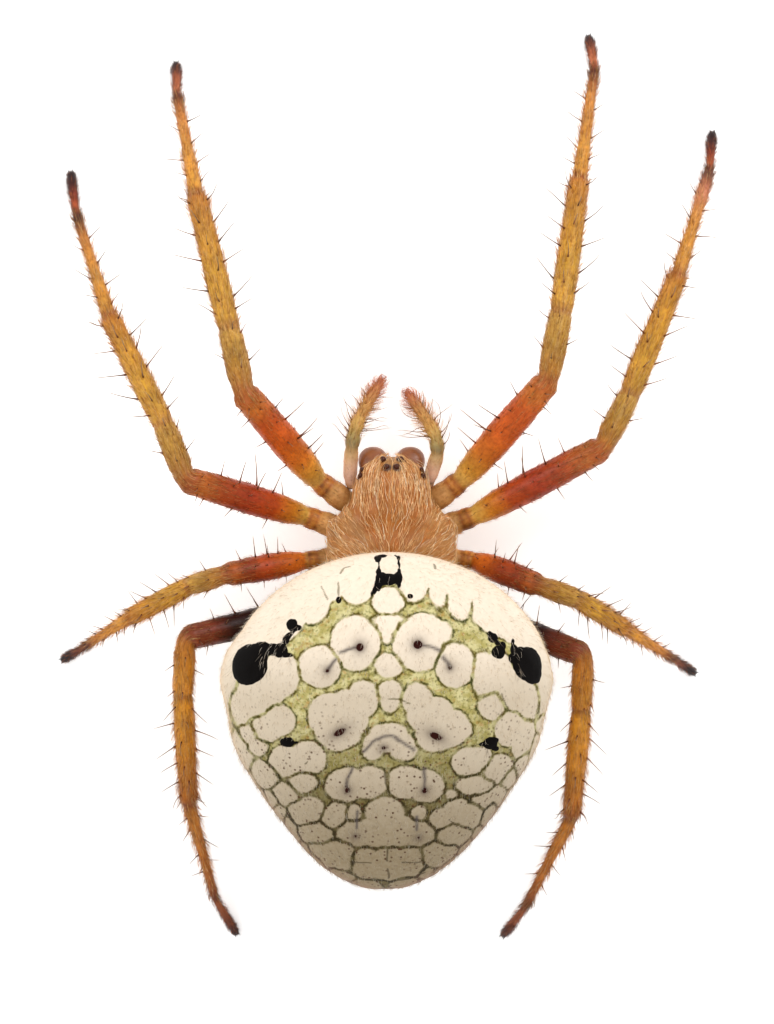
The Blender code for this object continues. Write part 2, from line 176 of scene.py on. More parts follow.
camera_data = bpy.data.cameras.new("camera")
camera_data.sensor_width = SENSOR
camera_data.lens = SENSOR * (CAMERA_HEIGHT - VIEW_LEVEL) / VIEW_LENGTH
camera_data.clip_start = 0.05
camera_data.clip_end = 10.0
camera = bpy.data.objects.new("camera", camera_data)
camera.location = (VIEW_CENTRE[0] * MM, VIEW_CENTRE[1] * MM, CAMERA_HEIGHT * MM)
camera.rotation_euler = (0, 0, math.pi)
bpy.context.collection.objects.link(camera)
scene.camera = camera

# ---- The abdomen's skin --------------------------------------------------------------------
# The abdomen is a soft bag under a thin clear skin.  White and cream deposits lie under the skin
# in plates, with yellow-green gaps between them and a fine dark line round each, and black
# patches and red-brown muscle pits break the pattern.
ABDOMEN_FRONT = 1.90
ABDOMEN_LENGTH = 10.94
ABDOMEN_HALF_WIDTH = 5.29
ABDOMEN_WIDEST = 4.18
FRONT_TIP_HEIGHT = 6.2
REAR_TIP_HEIGHT = 4.4
BACK_RISE = 3.35
BELLY_DROP = 4.35
BACK_PEAK = 4.0
BELLY_DEEPEST = 5.2
ABDOMEN_COAT = 0.06             # depth of the coat, by which the skin is drawn in
LEFT_SHOULDER = 0.19            # how much further out the left shoulder stands than the right one
TAIL_LEAN = 0.19                # how far the rear end leans to the left
FLOOR_GAP = 0.001               # the lowest that any point of a piece may lie above the floor
ABDOMEN_ROWS = 232
ABDOMEN_COLUMNS = 412
FULLNESS = 0.94                 # a power under 1 makes the sections fuller than ellipses
LINE_HALF_WIDTH = 0.046         # the dark line round each plate
ARM_HALF_WIDTH = 0.029
CREASE_HALF_WIDTH = 0.030
STREAK_HALF_WIDTH = 0.055
SIDE_PLATE_PACES = (0.62, 0.66)  # how far apart the small side plates grow, lengthwise and round
SIDE_PLATE_STRAY = 0.16
SIDE_PLATE_SIZES = (0.26, 0.42)
PLATE_RISE = 0.018
BLACK_RISE = 0.03
STREAK_DEPTH = 0.016
PIT_DEPTH = 0.05
EDGE_SHARE = 0.985              # beyond this share of the half-width the skin turns under
FORWARD_SHIFT = 0.09            # the markings of the front lie this much further forward
PROBE = 0.05                    # how far to each side the skin's stretch is measured
FAR = 9.0                       # further than any distance between a point and a marking near it

# Plates as seen from above: distance to the left of the midline, distance behind the abdomen's
# front, half-width, half-length and, for some, a turn in degrees.  Ovals in one row grow together.
PLATES = (
    # the white front, from the left shoulder to the right, with its scallops
    ((1.05, 0.90, 0.62, 0.74), (0.55, 0.50, 0.55, 0.50), (0, 0.46, 0.32, 0.25),
     (0, 0.02, 1.60, 0.36), (1.40, 0.60, 0.80, 0.60), (1.95, 1.00, 0.60, 0.62),
     (2.45, 1.60, 0.55, 0.72), (3.00, 1.75, 0.80, 0.62), (3.60, 2.20, 0.80, 0.80),
     (4.20, 2.70, 0.80, 0.70), (4.85, 3.30, 0.60, 1.00), (5.20, 4.30, 0.40, 1.20)),
    ((-0.78, 0.90, 0.52, 0.68),), ((-1.60, 1.05, 0.34, 0.70), (-1.30, 0.40, 0.80, 0.34)),
    ((-2.28, 1.55, 0.44, 0.68), (-2.10, 0.85, 0.50, 0.40)),
    ((-3.00, 1.75, 0.42, 0.72), (-3.45, 2.10, 0.62, 0.68), (-2.90, 1.05, 0.50, 0.50),
     (-4.10, 2.40, 0.60, 0.65), (-4.70, 3.10, 0.50, 0.80), (-5.15, 4.10, 0.35, 1.10)),
    ((3.45, 4.05, 0.60, 0.74), (3.85, 4.45, 0.62, 0.62), (4.40, 4.72, 0.75, 0.66),
     (4.85, 4.95, 0.45, 0.62)),
    ((-3.02, 4.05, 0.40, 0.74), (-3.45, 3.92, 0.50, 0.62), (-4.05, 4.50, 0.55, 0.66),
     (-4.50, 4.85, 0.42, 0.56)),
    # down the midline
    ((0.02, 1.62, 0.51, 0.42),),
    ((0.03, 2.27, 0.43, 0.19), (0.05, 2.48, 0.31, 0.22), (0.06, 2.76, 0.17, 0.22)),
    ((0.02, 3.73, 0.43, 0.39),), ((-0.03, 4.52, 0.37, 0.29), (-0.02, 4.86, 0.27, 0.36)),
    ((0, 5.93, 0.60, 0.36), (0.50, 6.42, 0.34, 0.28), (-0.45, 6.42, 0.40, 0.32),
     (0.58, 6.16, 0.24, 0.24), (-0.58, 6.16, 0.24, 0.24), (0.02, 6.25, 0.28, 0.24)),
    ((0.12, 8.38, 0.58, 0.46), (0.05, 9.00, 1.00, 0.49), (1.05, 9.08, 0.60, 0.37),
     (-0.85, 9.10, 0.58, 0.38)),
    ((0.75, 9.88, 0.35, 0.25), (0.75, 10.22, 0.50, 0.28), (0, 10.10, 0.62, 0.49),
     (-0.65, 9.88, 0.38, 0.26), (-0.60, 10.22, 0.48, 0.30)),
    # the left side of the back
    ((1.07, 2.98, 0.77, 0.87),), ((2.20, 3.77, 0.66, 0.66),),
    ((1.85, 5.30, 0.72, 0.70), (0.83, 4.80, 0.48, 0.60), (1.30, 5.05, 0.55, 0.58),
     (1.62, 5.84, 0.72, 0.58), (1.05, 5.50, 0.38, 0.45)),
    ((3.50, 5.48, 0.48, 0.50), (3.90, 5.75, 0.50, 0.42)),
    ((4.50, 5.92, 0.30, 0.27), (4.20, 6.30, 0.28, 0.27)),
    ((4.80, 6.35, 0.22, 0.42), (4.55, 6.75, 0.24, 0.30)),
    ((3.95, 7.20, 0.40, 0.36), (4.25, 6.95, 0.26, 0.26)),
    ((2.60, 6.66, 0.58, 0.53), (3.30, 6.78, 0.58, 0.52)), ((2.80, 7.44, 0.47, 0.34),),
    ((3.30, 7.80, 0.38, 0.38),), ((1.35, 7.50, 0.69, 0.53), (0.65, 7.42, 0.58, 0.52)),
    ((1.13, 8.42, 0.22, 0.26),),
    ((2.50, 8.32, 0.38, 0.42), (2.85, 8.60, 0.30, 0.26), (2.95, 8.30, 0.22, 0.22)),
    ((1.80, 8.58, 0.36, 0.36), (1.66, 8.32, 0.26, 0.26)),
    ((2.30, 9.08, 0.43, 0.30), (2.70, 9.05, 0.30, 0.25)),
    ((1.75, 9.78, 0.57, 0.40), (1.45, 10.10, 0.30, 0.30), (2.20, 9.70, 0.30, 0.25)),
    # the right side of the back
    ((-0.95, 3.00, 0.80, 0.88), (-1.10, 2.50, 0.60, 0.46), (-1.64, 2.68, 0.33, 0.38)),
    ((-2.10, 3.72, 0.62, 0.70),),
    ((-0.90, 4.80, 0.48, 0.52), (-1.35, 5.30, 0.76, 0.58), (-1.85, 5.70, 0.74, 0.62),
     (-1.45, 5.98, 0.62, 0.50), (-2.30, 5.75, 0.36, 0.32)), ((-3.30, 5.04, 0.46, 0.43),),
    ((-3.90, 5.78, 0.52, 0.54), (-4.38, 5.95, 0.36, 0.46), (-4.25, 6.36, 0.25, 0.28)),
    ((-2.55, 6.78, 0.53, 0.47), (-2.95, 6.70, 0.38, 0.38)), ((-3.52, 7.00, 0.46, 0.44),),
    ((-2.65, 7.52, 0.47, 0.33), (-3.02, 7.60, 0.30, 0.25)),
    ((-3.10, 8.02, 0.42, 0.27), (-3.50, 7.90, 0.30, 0.30)),
    ((-0.55, 7.42, 0.62, 0.52), (-1.15, 7.55, 0.60, 0.51)), ((-0.92, 8.42, 0.20, 0.20),),
    ((-2.00, 7.82, 0.18, 0.14),),
    ((-1.68, 8.62, 0.36, 0.35), (-2.20, 8.36, 0.46, 0.39), (-2.62, 8.48, 0.40, 0.40)),
    ((-1.95, 9.13, 0.40, 0.33), (-2.30, 9.20, 0.25, 0.25)),
    ((-1.52, 9.80, 0.43, 0.37), (-1.85, 9.75, 0.30, 0.30)),
)
BLACK_PATCHES = (
    # the left shoulder mark with its beads, and the right one
    (4.50, 3.72, 0.58, 0.66), (4.05, 3.22, 0.32, 0.25), (4.28, 3.42, 0.42, 0.38),
    (3.72, 3.22, 0.26, 0.20), (3.46, 3.25, 0.24, 0.24), (3.28, 2.90, 0.12, 0.17),
    (3.18, 2.76, 0.10, 0.10), (3.06, 2.60, 0.09, 0.12), (3.26, 3.40, 0.18, 0.09),
    (3.08, 2.42, 0.18, 0.20), (2.92, 2.50, 0.16, 0.10), (-4.50, 3.70, 0.50, 0.56),
    (-4.64, 3.95, 0.33, 0.40), (-4.25, 3.48, 0.30, 0.34), (-4.02, 3.24, 0.13, 0.18),
    (-3.96, 3.50, 0.13, 0.18), (-3.97, 2.96, 0.05, 0.11), (-3.50, 3.30, 0.24, 0.21),
    (-3.64, 3.10, 0.11, 0.14), (-3.32, 2.85, 0.16, 0.15), (-3.20, 2.72, 0.08, 0.09),
    (-3.46, 3.01, 0.10, 0.09),
    # the saddle behind the front edge, two dots beside it, and the two rear side spots
    (0.24, 0.93, 0.20, 0.21), (0.34, 0.73, 0.09, 0.12), (-0.26, 0.92, 0.16, 0.22),
    (-0.31, 0.72, 0.07, 0.13), (0.00, 0.95, 0.30, 0.19), (0.36, 1.14, 0.13, 0.18),
    (0.47, 1.30, 0.08, 0.14), (0.55, 1.40, 0.05, 0.11), (-0.31, 1.12, 0.07, 0.12),
    (0.37, 0.29, 0.12, 0.13), (0.24, 0.22, 0.16, 0.08), (-0.29, 0.28, 0.05, 0.09),
    (1.60, 1.62, 0.10, 0.11), (-0.67, 1.50, 0.10, 0.08), (3.25, 6.16, 0.25, 0.16),
    (2.97, 6.17, 0.09, 0.05), (-3.25, 6.20, 0.23, 0.20), (-3.40, 6.36, 0.13, 0.09),
    (-3.00, 6.22, 0.12, 0.06), (-3.36, 6.10, 0.17, 0.10),
)
# the saddle's two thin arms, which run forwards from it
SADDLE_ARMS = (
    ((0.33, 0.66), (0.33, 0.45), (0.40, 0.28), (0.18, 0.19)), ((-0.18, 0.19), (-0.27, 0.27), (-0.33, 0.66)),
)
MUSCLE_PITS = (
    (0.93, 3.13, 0.125, 0.14), (-0.92, 3.05, 0.15, 0.15), (1.58, 5.86, 0.21, 0.11, 30),
    (-1.49, 5.98, 0.22, 0.11, -28), (1.97, 3.90, 0.06, 0.06), (-1.95, 3.80, 0.06, 0.06),
    (1.33, 7.70, 0.085, 0.085), (-1.14, 7.71, 0.085, 0.085), (1.08, 9.20, 0.045, 0.045),
    (-0.94, 9.25, 0.045, 0.045), (0.17, 6.35, 0.07, 0.06),
)
# Soft grey shadows of muscles that run down from the pits, and thin creases in the plates
GREY_STREAKS = (
    ((0.93, 3.13), (1.25, 3.15), (1.55, 3.30)), ((-0.92, 3.05), (-1.30, 3.12), (-1.62, 3.28)),
    ((1.97, 3.90), (1.86, 3.72), (1.72, 3.50)), ((-1.95, 3.80), (-1.88, 3.60), (-1.74, 3.44)),
    ((1.33, 7.70), (1.30, 7.30), (1.18, 6.98)), ((-1.14, 7.71), (-1.12, 7.30), (-1.10, 6.98)),
    ((1.00, 8.38), (1.02, 8.90)), ((-0.86, 8.55), (-0.88, 8.95)),
    ((0.80, 6.45), (0.50, 6.15), (0.20, 6.00), (-0.10, 5.98), (-0.30, 6.10), (-0.75, 6.40)),
)
GREEN_CREASES = (
    ((2.15, 1.18), (2.04, 1.46), (1.97, 1.62)), ((1.25, 0.58), (1.42, 0.62), (1.54, 0.80)),
    ((1.60, 1.05), (1.62, 1.50)), ((-1.48, 0.62), (-1.40, 0.48)), ((-3.60, 4.62), (-3.85, 5.15)),
    ((0, 4.78), (-0.35, 4.80), (-0.68, 4.94)), ((0.15, 7.00), (0.14, 7.45), (0.02, 7.84)),
    ((1.10, 10.02), (0.60, 10.04)), ((-0.40, 10.03), (-0.98, 10.05)), ((0.05, 9.60), (0.04, 10.00)),
    ((0.05, 10.25), (0.04, 10.55)), ((-1.92, 8.62), (-2.22, 8.92)),
    ((1.38, 10.36), (0.90, 10.56), (0.10, 10.66), (-0.70, 10.58), (-1.15, 10.38)),
    ((2.65, 6.85), (2.55, 6.78)),
)


def soft_step(value, low, high):
    """0 below the low value, 1 above the high one, and smooth between them."""
    share = np.clip((value - low) / (high - low), 0, 1)
    return share * share * (3 - 2 * share)


def swell(distance, peak, length, power_before, power_after, lift=0.5):
    """Height of a bulging outline, 0 at both ends and 1 at its peak; higher powers make it blunter."""
    before = np.clip((peak - distance) / peak, 0, 1)
    after = np.clip((distance - peak) / (length - peak), 0, 1)
    return (np.maximum(0, 1 - before ** power_before) * np.maximum(0, 1 - after ** power_after)) ** lift


def abdomen_section(distance):
    """Half-width, middle height, rise and drop at a distance behind the abdomen's front."""
    half = ABDOMEN_HALF_WIDTH * swell(distance, ABDOMEN_WIDEST, ABDOMEN_LENGTH, 1.8, 1.2)
    middle = FRONT_TIP_HEIGHT + (REAR_TIP_HEIGHT - FRONT_TIP_HEIGHT) * distance / ABDOMEN_LENGTH
    rise = BACK_RISE * swell(distance, BACK_PEAK, ABDOMEN_LENGTH, 1.9, 1.35)
    drop = BELLY_DROP * swell(distance, BELLY_DEEPEST, ABDOMEN_LENGTH, 1.3, 1.5, lift=0.62)
    return half, middle, rise, drop


def lean(distance):
    """How far the abdomen's rear part leans to the left."""
    return TAIL_LEAN * soft_step(distance, 4.5, 11.5)


def abdomen_points(distance, angle):
    """Points of the skin at distances behind the front and angles round it, 90 degrees on top."""
    half, middle, rise, drop = abdomen_section(distance)
    # the flanks are a little fuller behind the middle
    fuller = 0.11 * soft_step(distance, 5.0, 7.0) - 0.03 * soft_step(distance, 8.0, 9.5)
    fuller = fuller + 0.14 * np.exp(-((distance - 6.2) / 1.1) ** 2)
    half = half + fuller * (distance < ABDOMEN_LENGTH)
    across = np.sign(np.cos(angle)) * np.abs(np.cos(angle)) ** FULLNESS
    upward = np.sign(np.sin(angle)) * np.abs(np.sin(angle)) ** FULLNESS
    shoulder = LEFT_SHOULDER * soft_step(distance, 2.4, 3.4) * (1 - soft_step(distance, 6.4, 9.4))
    x = half * across + shoulder * np.maximum(across, 0)
    y = ABDOMEN_FRONT + distance + 0 * x
    z = middle + upward * np.where(upward > 0, rise, drop)
    centre = np.array((0, ABDOMEN_FRONT + ABDOMEN_LENGTH / 2, (FRONT_TIP_HEIGHT + REAR_TIP_HEIGHT) / 2))
    shrink = 1 - ABDOMEN_COAT / BELLY_DROP
    return centre + (np.stack((x, y, z), axis=-1) - centre) * shrink


def added_up(steps):
    """The running total of some steps, from 0."""
    return np.concatenate(([0], np.cumsum(steps)))


def evenly(values, lengths, count):
    """Pick count values so that the lengths between them, given as running totals, are even."""
    return np.interp(np.linspace(0, lengths[-1], count), lengths, values)


def ripple(points, size, seed):
    """Smooth noise between -1 and 1 over points, with bumps of about the given size."""
    lattice = np.random.default_rng(seed).uniform(-1, 1, (32, 32, 32))
    spot = np.asarray(points) / size + 320.0
    base = np.floor(spot).astype(int)
    part = spot - base
    part = part * part * (3 - 2 * part)
    total = 0.0
    for corner in np.ndindex(2, 2, 2):
        share = np.prod(np.where(corner, part, 1 - part), axis=-1)
        i, j, k = np.moveaxis((base + corner) % 32, -1, 0)
        total = total + share * lattice[i, j, k]
    return total


def unit(vectors):
    """The same directions with a length of 1."""
    return vectors / np.maximum(np.linalg.norm(vectors, axis=-1, keepdims=True), 1e-9)


def grid_normals(points):
    """Outward directions over a grid of points whose rows go once round."""
    beside = np.roll(points, -1, axis=1) - np.roll(points, 1, axis=1)
    normals = unit(np.cross(beside, np.gradient(points, axis=0)))
    outwards = points - points.mean(axis=1, keepdims=True)
    return normals * np.sign(np.sum(normals * outwards))


def mesh_from(name, points, corners, sizes, unwrap, finish, patterns):
    """A shown object from points, the corners of its faces and how many corners each face has."""
    points[:, 2] = np.maximum(points[:, 2], FLOOR_GAP)
    mesh = bpy.data.meshes.new(name)
    mesh.vertices.add(len(points))
    mesh.vertices.foreach_set("co", (points * MM).astype(np.float32).ravel())
    mesh.loops.add(len(corners))
    mesh.loops.foreach_set("vertex_index", corners.astype(np.int32))
    mesh.polygons.add(len(sizes))
    mesh.polygons.foreach_set("loop_start", (np.cumsum(sizes) - sizes).astype(np.int32))
    mesh.update(calc_edges=True)
    layer = mesh.uv_layers.new(name="OFBake")
    layer.data.foreach_set("uv", unwrap.astype(np.float32).ravel())
    for pattern, values in patterns.items():
        kind, key = "FLOAT", "value"
        if values.ndim == 2:
            kind, key = "FLOAT_COLOR", "color"
            values = np.insert(values, 3, 1.0, axis=1)
        attribute = mesh.attributes.new(pattern, kind, "POINT")
        attribute.data.foreach_set(key, values.astype(np.float32).ravel())
    mesh.materials.append(finish)
    mesh.shade_smooth()
    piece = bpy.data.objects.new(name, mesh)
    bpy.context.collection.objects.link(piece)
    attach(piece, "root")
    return piece


def skin(name, grid, finish, nodes, slot, tips=None, **patterns):
    """A closed skin over rows of points that go once round, drawn together at two end points.

    It stands for the named nodes of the model. The slot is not used.
    """
    rows, columns, _ = grid.shape
    index = np.arange(rows * columns).reshape(rows, columns)
    beside = np.roll(index, -1, axis=1)
    first, last = rows * columns, rows * columns + 1
    quads = np.stack((index[:-1], beside[:-1], beside[1:], index[1:]), axis=-1).reshape(-1, 4)
    front = np.stack((beside[0], index[0], np.full(columns, first)), axis=-1)
    back = np.stack((index[-1], beside[-1], np.full(columns, last)), axis=-1)
    if tips is None:
        tips = (grid[0].mean(axis=0), grid[-1].mean(axis=0))
    points = np.concatenate((grid.reshape(-1, 3), np.array(tips)))

    # the unwrap: columns across, rows upwards, and the two ends along its lower and upper edge
    across, step = np.arange(columns) / columns, 1 / columns
    along = np.arange(1, rows + 1) / (rows + 1)
    u = np.broadcast_to(across, (rows - 1, columns))
    low = np.broadcast_to(along[:-1, None], u.shape)
    high = np.broadcast_to(along[1:, None], u.shape)
    near, far = np.full(columns, along[0]), np.full(columns, along[-1])
    flat = np.stack((u, low, u + step, low, u + step, high, u, high), axis=-1)
    flat_front = np.stack((across + step, near, across, near, across + step / 2, 0 * near), axis=-1)
    flat_back = np.stack((across, far, across + step, far, across + step / 2, 0 * far + 1), axis=-1)

    # turn the faces outwards, judged by the volume that they enclose
    corner = points[quads]
    volume = np.sum(corner[:, 0] * np.cross(corner[:, 1], corner[:, 2]))
    volume += np.sum(corner[:, 0] * np.cross(corner[:, 2], corner[:, 3]))
    order = slice(None, None, 1 if volume > 0 else -1)
    corners, unwrap = [], []
    for faces, places in ((quads, flat), (front, flat_front), (back, flat_back)):
        corners.append(faces[:, order].ravel())
        unwrap.append(places.reshape(*faces.shape, 2)[:, order].reshape(-1, 2))
    corners, unwrap = np.concatenate(corners), np.concatenate(unwrap)
    sizes = np.repeat((4, 3), (len(quads), 2 * columns))
    spread = {}
    for pattern, values in patterns.items():
        flat_values = values.reshape((rows * columns,) + values.shape[2:])
        spread[pattern] = np.concatenate((flat_values, values[[0, -1]].mean(axis=1)))
    piece = mesh_from(name, points, corners, sizes, unwrap, finish, spread)
    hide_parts(*nodes)


# the unrolled skin: distance round from the back's midline, and distance along the back
fine = ABDOMEN_LENGTH * (1 - np.cos(np.linspace(0, math.pi, 2001))) / 2
outline_half, outline_middle, outline_rise, _ = abdomen_section(fine)
back_height = outline_middle + outline_rise
along_back = added_up(np.hypot(np.diff(fine), np.diff(back_height)))
along_side = added_up(np.hypot(np.diff(fine), np.diff(outline_half)))
distance = evenly(fine, along_back + along_side, ABDOMEN_ROWS + 2)[1:-1]
fine_angle = np.linspace(-math.pi / 2, 3 * math.pi / 2, 4001)
section = abdomen_points(ABDOMEN_WIDEST, fine_angle)
effort = np.linalg.norm(np.diff(section, axis=0), axis=1)
effort *= np.where(np.sin(fine_angle[1:]) > -0.1, 1.0, 0.6)         # the belly gets fewer columns
angle = evenly(fine_angle, added_up(effort), ABDOMEN_COLUMNS + 1)[:-1]
abdomen_grid = abdomen_points(distance[:, None], angle[None, :])
top_column = int(np.argmin(np.abs(angle - math.pi / 2)))
side_column = int(np.argmin(np.abs(angle)))
strides = np.linalg.norm(np.diff(abdomen_grid, axis=1), axis=-1)
around = np.concatenate((np.zeros((ABDOMEN_ROWS, 1)), np.cumsum(strides, axis=1)), axis=1)
around = around[:, [top_column]] - around
along = np.broadcast_to(np.interp(distance, fine, along_back)[:, None], around.shape)
rim = around[:, side_column]


def unrolled(x, behind):
    """Where a point seen from above lies on the unrolled skin, and how the skin stretches there."""
    points = abdomen_points(behind, np.linspace(math.pi / 2, 0, 300))
    paces = added_up(np.linalg.norm(np.diff(points, axis=0), axis=1))
    edge = EDGE_SHARE * points[-1, 0]
    behind = behind - FORWARD_SHIFT * (1 - float(soft_step(behind, 4.0, 8.0)))
    x = x - float(lean(behind))
    reach = min(abs(x), edge)
    near = np.array((-PROBE, PROBE))
    stretch = np.diff(np.interp(reach + near, points[:, 0], paces))[0] / (2 * PROBE)
    slope = np.diff(np.interp(behind + near, fine, along_back))[0] / (2 * PROBE)
    place = math.copysign(np.interp(reach, points[:, 0], paces) + max(0.0, abs(x) - edge), x)
    back = np.interp(behind, fine, along_back)
    return place, back, min(max(stretch, 1.0), 2.2), min(max(slope, 1.0), 2.2)


def oval_field(ovals, around, along):
    """How far each point lies outside the nearest of some ovals; inside them it is negative."""
    field = np.full(around.shape, FAR)
    for x, behind, half_width, half_length, *turn in ovals:
        place, back, wide, long = unrolled(x, behind)
        turn = math.radians(turn[0]) if turn else 0.0
        u = (around - place) / wide
        v = (along - back) / long
        p = (u * math.cos(turn) + v * math.sin(turn)) / half_width
        q = (v * math.cos(turn) - u * math.sin(turn)) / half_length
        size = min(half_width, half_length) * math.sqrt(wide * long)
        field = np.minimum(field, (np.sqrt(p * p + q * q) - 1) * size)
    return field


def with_plate(field, nearest, second):
    """How far each point is from the nearest plate and the second nearest, with one plate more."""
    return np.minimum(nearest, field), np.minimum(second, np.maximum(nearest, field))


def line_distance(x, y, line):
    """Distance of points from a bent line."""
    field = np.full(np.broadcast(x, y).shape, FAR)
    for start, end in zip(line, line[1:]):
        run = np.subtract(end, start)
        share = np.clip(((x - start[0]) * run[0] + (y - start[1]) * run[1]) / (run @ run), 0, 1)
        field = np.minimum(field, np.hypot(x - start[0] - share * run[0], y - start[1] - share * run[1]))
    return field


def stroke_field(strokes, around, along):
    """Distance of each point from the nearest of some lines drawn on the back."""
    fields = []
    for stroke in strokes:
        fields.append(line_distance(around, along, [unrolled(x, behind)[:2] for x, behind in stroke]))
    return np.minimum.reduce(fields)


wobble, shake = (0.045 * ripple(abdomen_grid, 0.42, seed) + 0.022 * ripple(abdomen_grid, 0.14, seed + 1)
                 for seed in (1, 3))
uneven = (around + wobble, along + shake)
beyond_rim = np.abs(around) - rim[:, None]
nearest = np.full(around.shape, FAR)
second = nearest
for ovals in PLATES:
    nearest, second = with_plate(oval_field(ovals, *uneven), nearest, second)

# smaller plates fill the sides, round the rear and down towards the belly
rng = np.random.default_rng(7)
for back in np.arange(0.5, along_back[-1], SIDE_PLATE_PACES[0]):
    edge = np.interp(back, along[:, 0], rim)
    for place in np.arange(0.72 * edge, edge + 3.4, SIDE_PLATE_PACES[1]):
        for sign in (1, -1):
            x = sign * (place + rng.uniform(-SIDE_PLATE_STRAY, SIDE_PLATE_STRAY))
            y = back + rng.uniform(-SIDE_PLATE_STRAY, SIDE_PLATE_STRAY)
            size = rng.uniform(*SIDE_PLATE_SIZES)
            shape = rng.uniform(0.8, 1.25)
            here = np.argmin(np.abs(around - x) + np.abs(along - y))
            if nearest.ravel()[here] >= SIDE_PLATE_STRAY:
                field = np.hypot((uneven[0] - x) / shape, (uneven[1] - y) * shape) - size
                nearest, second = with_plate(field, nearest, second)

# over the white front and the shoulders the plates grow into one
merged = 1 - soft_step(distance[:, None] - 0.30 * np.abs(around), 0.28, 0.90)
# every plate swells until only a thin line parts it from the next, more so towards the sides
growth = 0.02 + 0.16 * soft_step(beyond_rim, -2.2, -0.8) + 0.05 * soft_step(along, 9.5, 11)
plate = np.minimum(growth - nearest, (second - nearest) / 2 - LINE_HALF_WIDTH) + 0.3 * merged
bumps = 0.020 * ripple(abdomen_grid, 0.17, 5) + 0.016 * ripple(abdomen_grid, 0.08, 6)
arms = ARM_HALF_WIDTH - stroke_field(SADDLE_ARMS, around, along)
black = np.maximum(-oval_field(BLACK_PATCHES, around, along), arms) + bumps
pit = -oval_field(MUSCLE_PITS, around, along) + 0.3 * bumps
# a soft grey round each muscle pit: painted shade in and around its hollow
halo = np.exp(-np.maximum(-pit, 0) / 0.13)
streak = np.exp(-(stroke_field(GREY_STREAKS, *uneven) / STREAK_HALF_WIDTH) ** 2)
crease = CREASE_HALF_WIDTH - stroke_field(GREEN_CREASES, *uneven)
# rearward rises from 0 near the front towards 1 at the rear. The cream, the green gaps, the lines and the
# flanks darken along it, partly their own tone and partly painted shade where the back slopes down away from
# the light, and the specks grow denser along it
rearward = soft_step(distance[:, None] + 0 * around, 1.2, ABDOMEN_LENGTH + 0.8)

# the skin sinks a little along the lines and into the pits, and the black patches stand proud
relief = PLATE_RISE * soft_step(plate, -0.02, 0.20) - PIT_DEPTH * np.exp(-np.maximum(-pit, 0) / 0.10)
relief += BLACK_RISE * soft_step(black, -0.05, 0.15) - STREAK_DEPTH * streak
relief += 0.006 * ripple(abdomen_grid, 0.3, 8)
abdomen_grid = abdomen_grid + grid_normals(abdomen_grid) * relief[..., None]
abdomen_grid[..., 0] += lean(distance)[:, None]
tip_points = abdomen_points(np.array([0.0, ABDOMEN_LENGTH]), np.array([0.0, 0.0]))
tip_points[1, 0] += lean(ABDOMEN_LENGTH)

finish, tree, shader = start_finish("abdomen_skin", 0.5, gloss=0.05)
aft = painted(tree, "rearward")
# the cream darkens towards the rear: partly its own tone, partly painted shade where the back slopes away
# from the light
cream = mixed(tree, between(tree, aft, 0.0, 0.30), tone(248, 233, 213), tone(214, 199, 176))
cream = mixed(tree, between(tree, aft, 0.32, 1.0), cream, tone(146, 130, 102))
clouds = sums(tree, "MULTIPLY", grain(tree, 0.9, 3.0), 0.22)
cream = mixed(tree, clouds, cream, tone(232, 212, 180), "MULTIPLY")
cream = mixed(tree, between(tree, grain(tree, 0.12, 2.0), 0.35, 0.65, 0.0, 0.12), cream, tone(200, 188, 168))
olive = between(tree, grain(tree, 0.30, 4.0), 0.36, 0.64)
green = mixed(tree, olive, tone(216, 206, 150), tone(180, 168, 100))
rust = between(tree, grain(tree, 0.22, 4.0, stretch=(1, 1.3, 1)), 0.54, 0.70, 0.0, 0.65)
green = mixed(tree, rust, green, tone(184, 138, 74))
green = mixed(tree, between(tree, grain(tree, 0.10, 3.0), 0.50, 0.66, 0.0, 0.60), green, tone(116, 112, 52))
# the green gaps darken towards the rear: partly their own tone, partly painted shade
green = mixed(tree, between(tree, aft, 0.2, 0.85, 0.0, 0.9), green, tone(84, 70, 38))
ragged = sums(tree, "MULTIPLY", sums(tree, "SUBTRACT", grain(tree, 0.10, 2.0), 0.5), 0.09)
edge = sums(tree, "ADD", painted(tree, "plate"), ragged)
colour = mixed(tree, between(tree, edge, -0.035, 0.045), green, cream)
line = between(tree, sums(tree, "ABSOLUTE", sums(tree, "ADD", edge, 0.036)), 0.0, 0.070, 1.0, 0.0)
line = sums(tree, "MULTIPLY", line, between(tree, grain(tree, 0.3, 2.0), 0.36, 0.58, 0.30, 1.0))
broken = between(tree, grain(tree, 0.9, 2.0), 0.42, 0.62)
line_colour = mixed(tree, broken, tone(88, 78, 30), tone(58, 62, 28))
# the lines darken towards the rear: partly their own tone, partly painted shade
line_colour = mixed(tree, between(tree, aft, 0.2, 0.8), line_colour, tone(52, 42, 22))
rim_value = painted(tree, "beyond_rim")
# the flanks darken towards the rear: partly their own tone, partly painted shade
flank = mixed(tree, between(tree, aft, 0.15, 0.9), tone(246, 212, 172), tone(140, 94, 66))
belly = mixed(tree, grain(tree, 0.5, 4.0), tone(98, 78, 48), tone(150, 124, 82))
dots = add(tree, "ShaderNodeTexVoronoi", {"Vector": add(tree, "ShaderNodeTexCoord", {}, "Object"),
                                          "Scale": 1 / (0.17 * MM)}, "Distance", feature="F1")
speckled = between(tree, aft, 0.05, 0.6, 0.04, 1.0)
speckled = sums(tree, "MULTIPLY", between(tree, grain(tree, 0.5), 0.35, 0.6), speckled)
speckled = sums(tree, "MULTIPLY", speckled, between(tree, dots, 0.13, 0.32, 0.95, 0.0))
ink = mixed(tree, grain(tree, 0.10, 2.0), tone(6, 4, 3), tone(14, 10, 9))
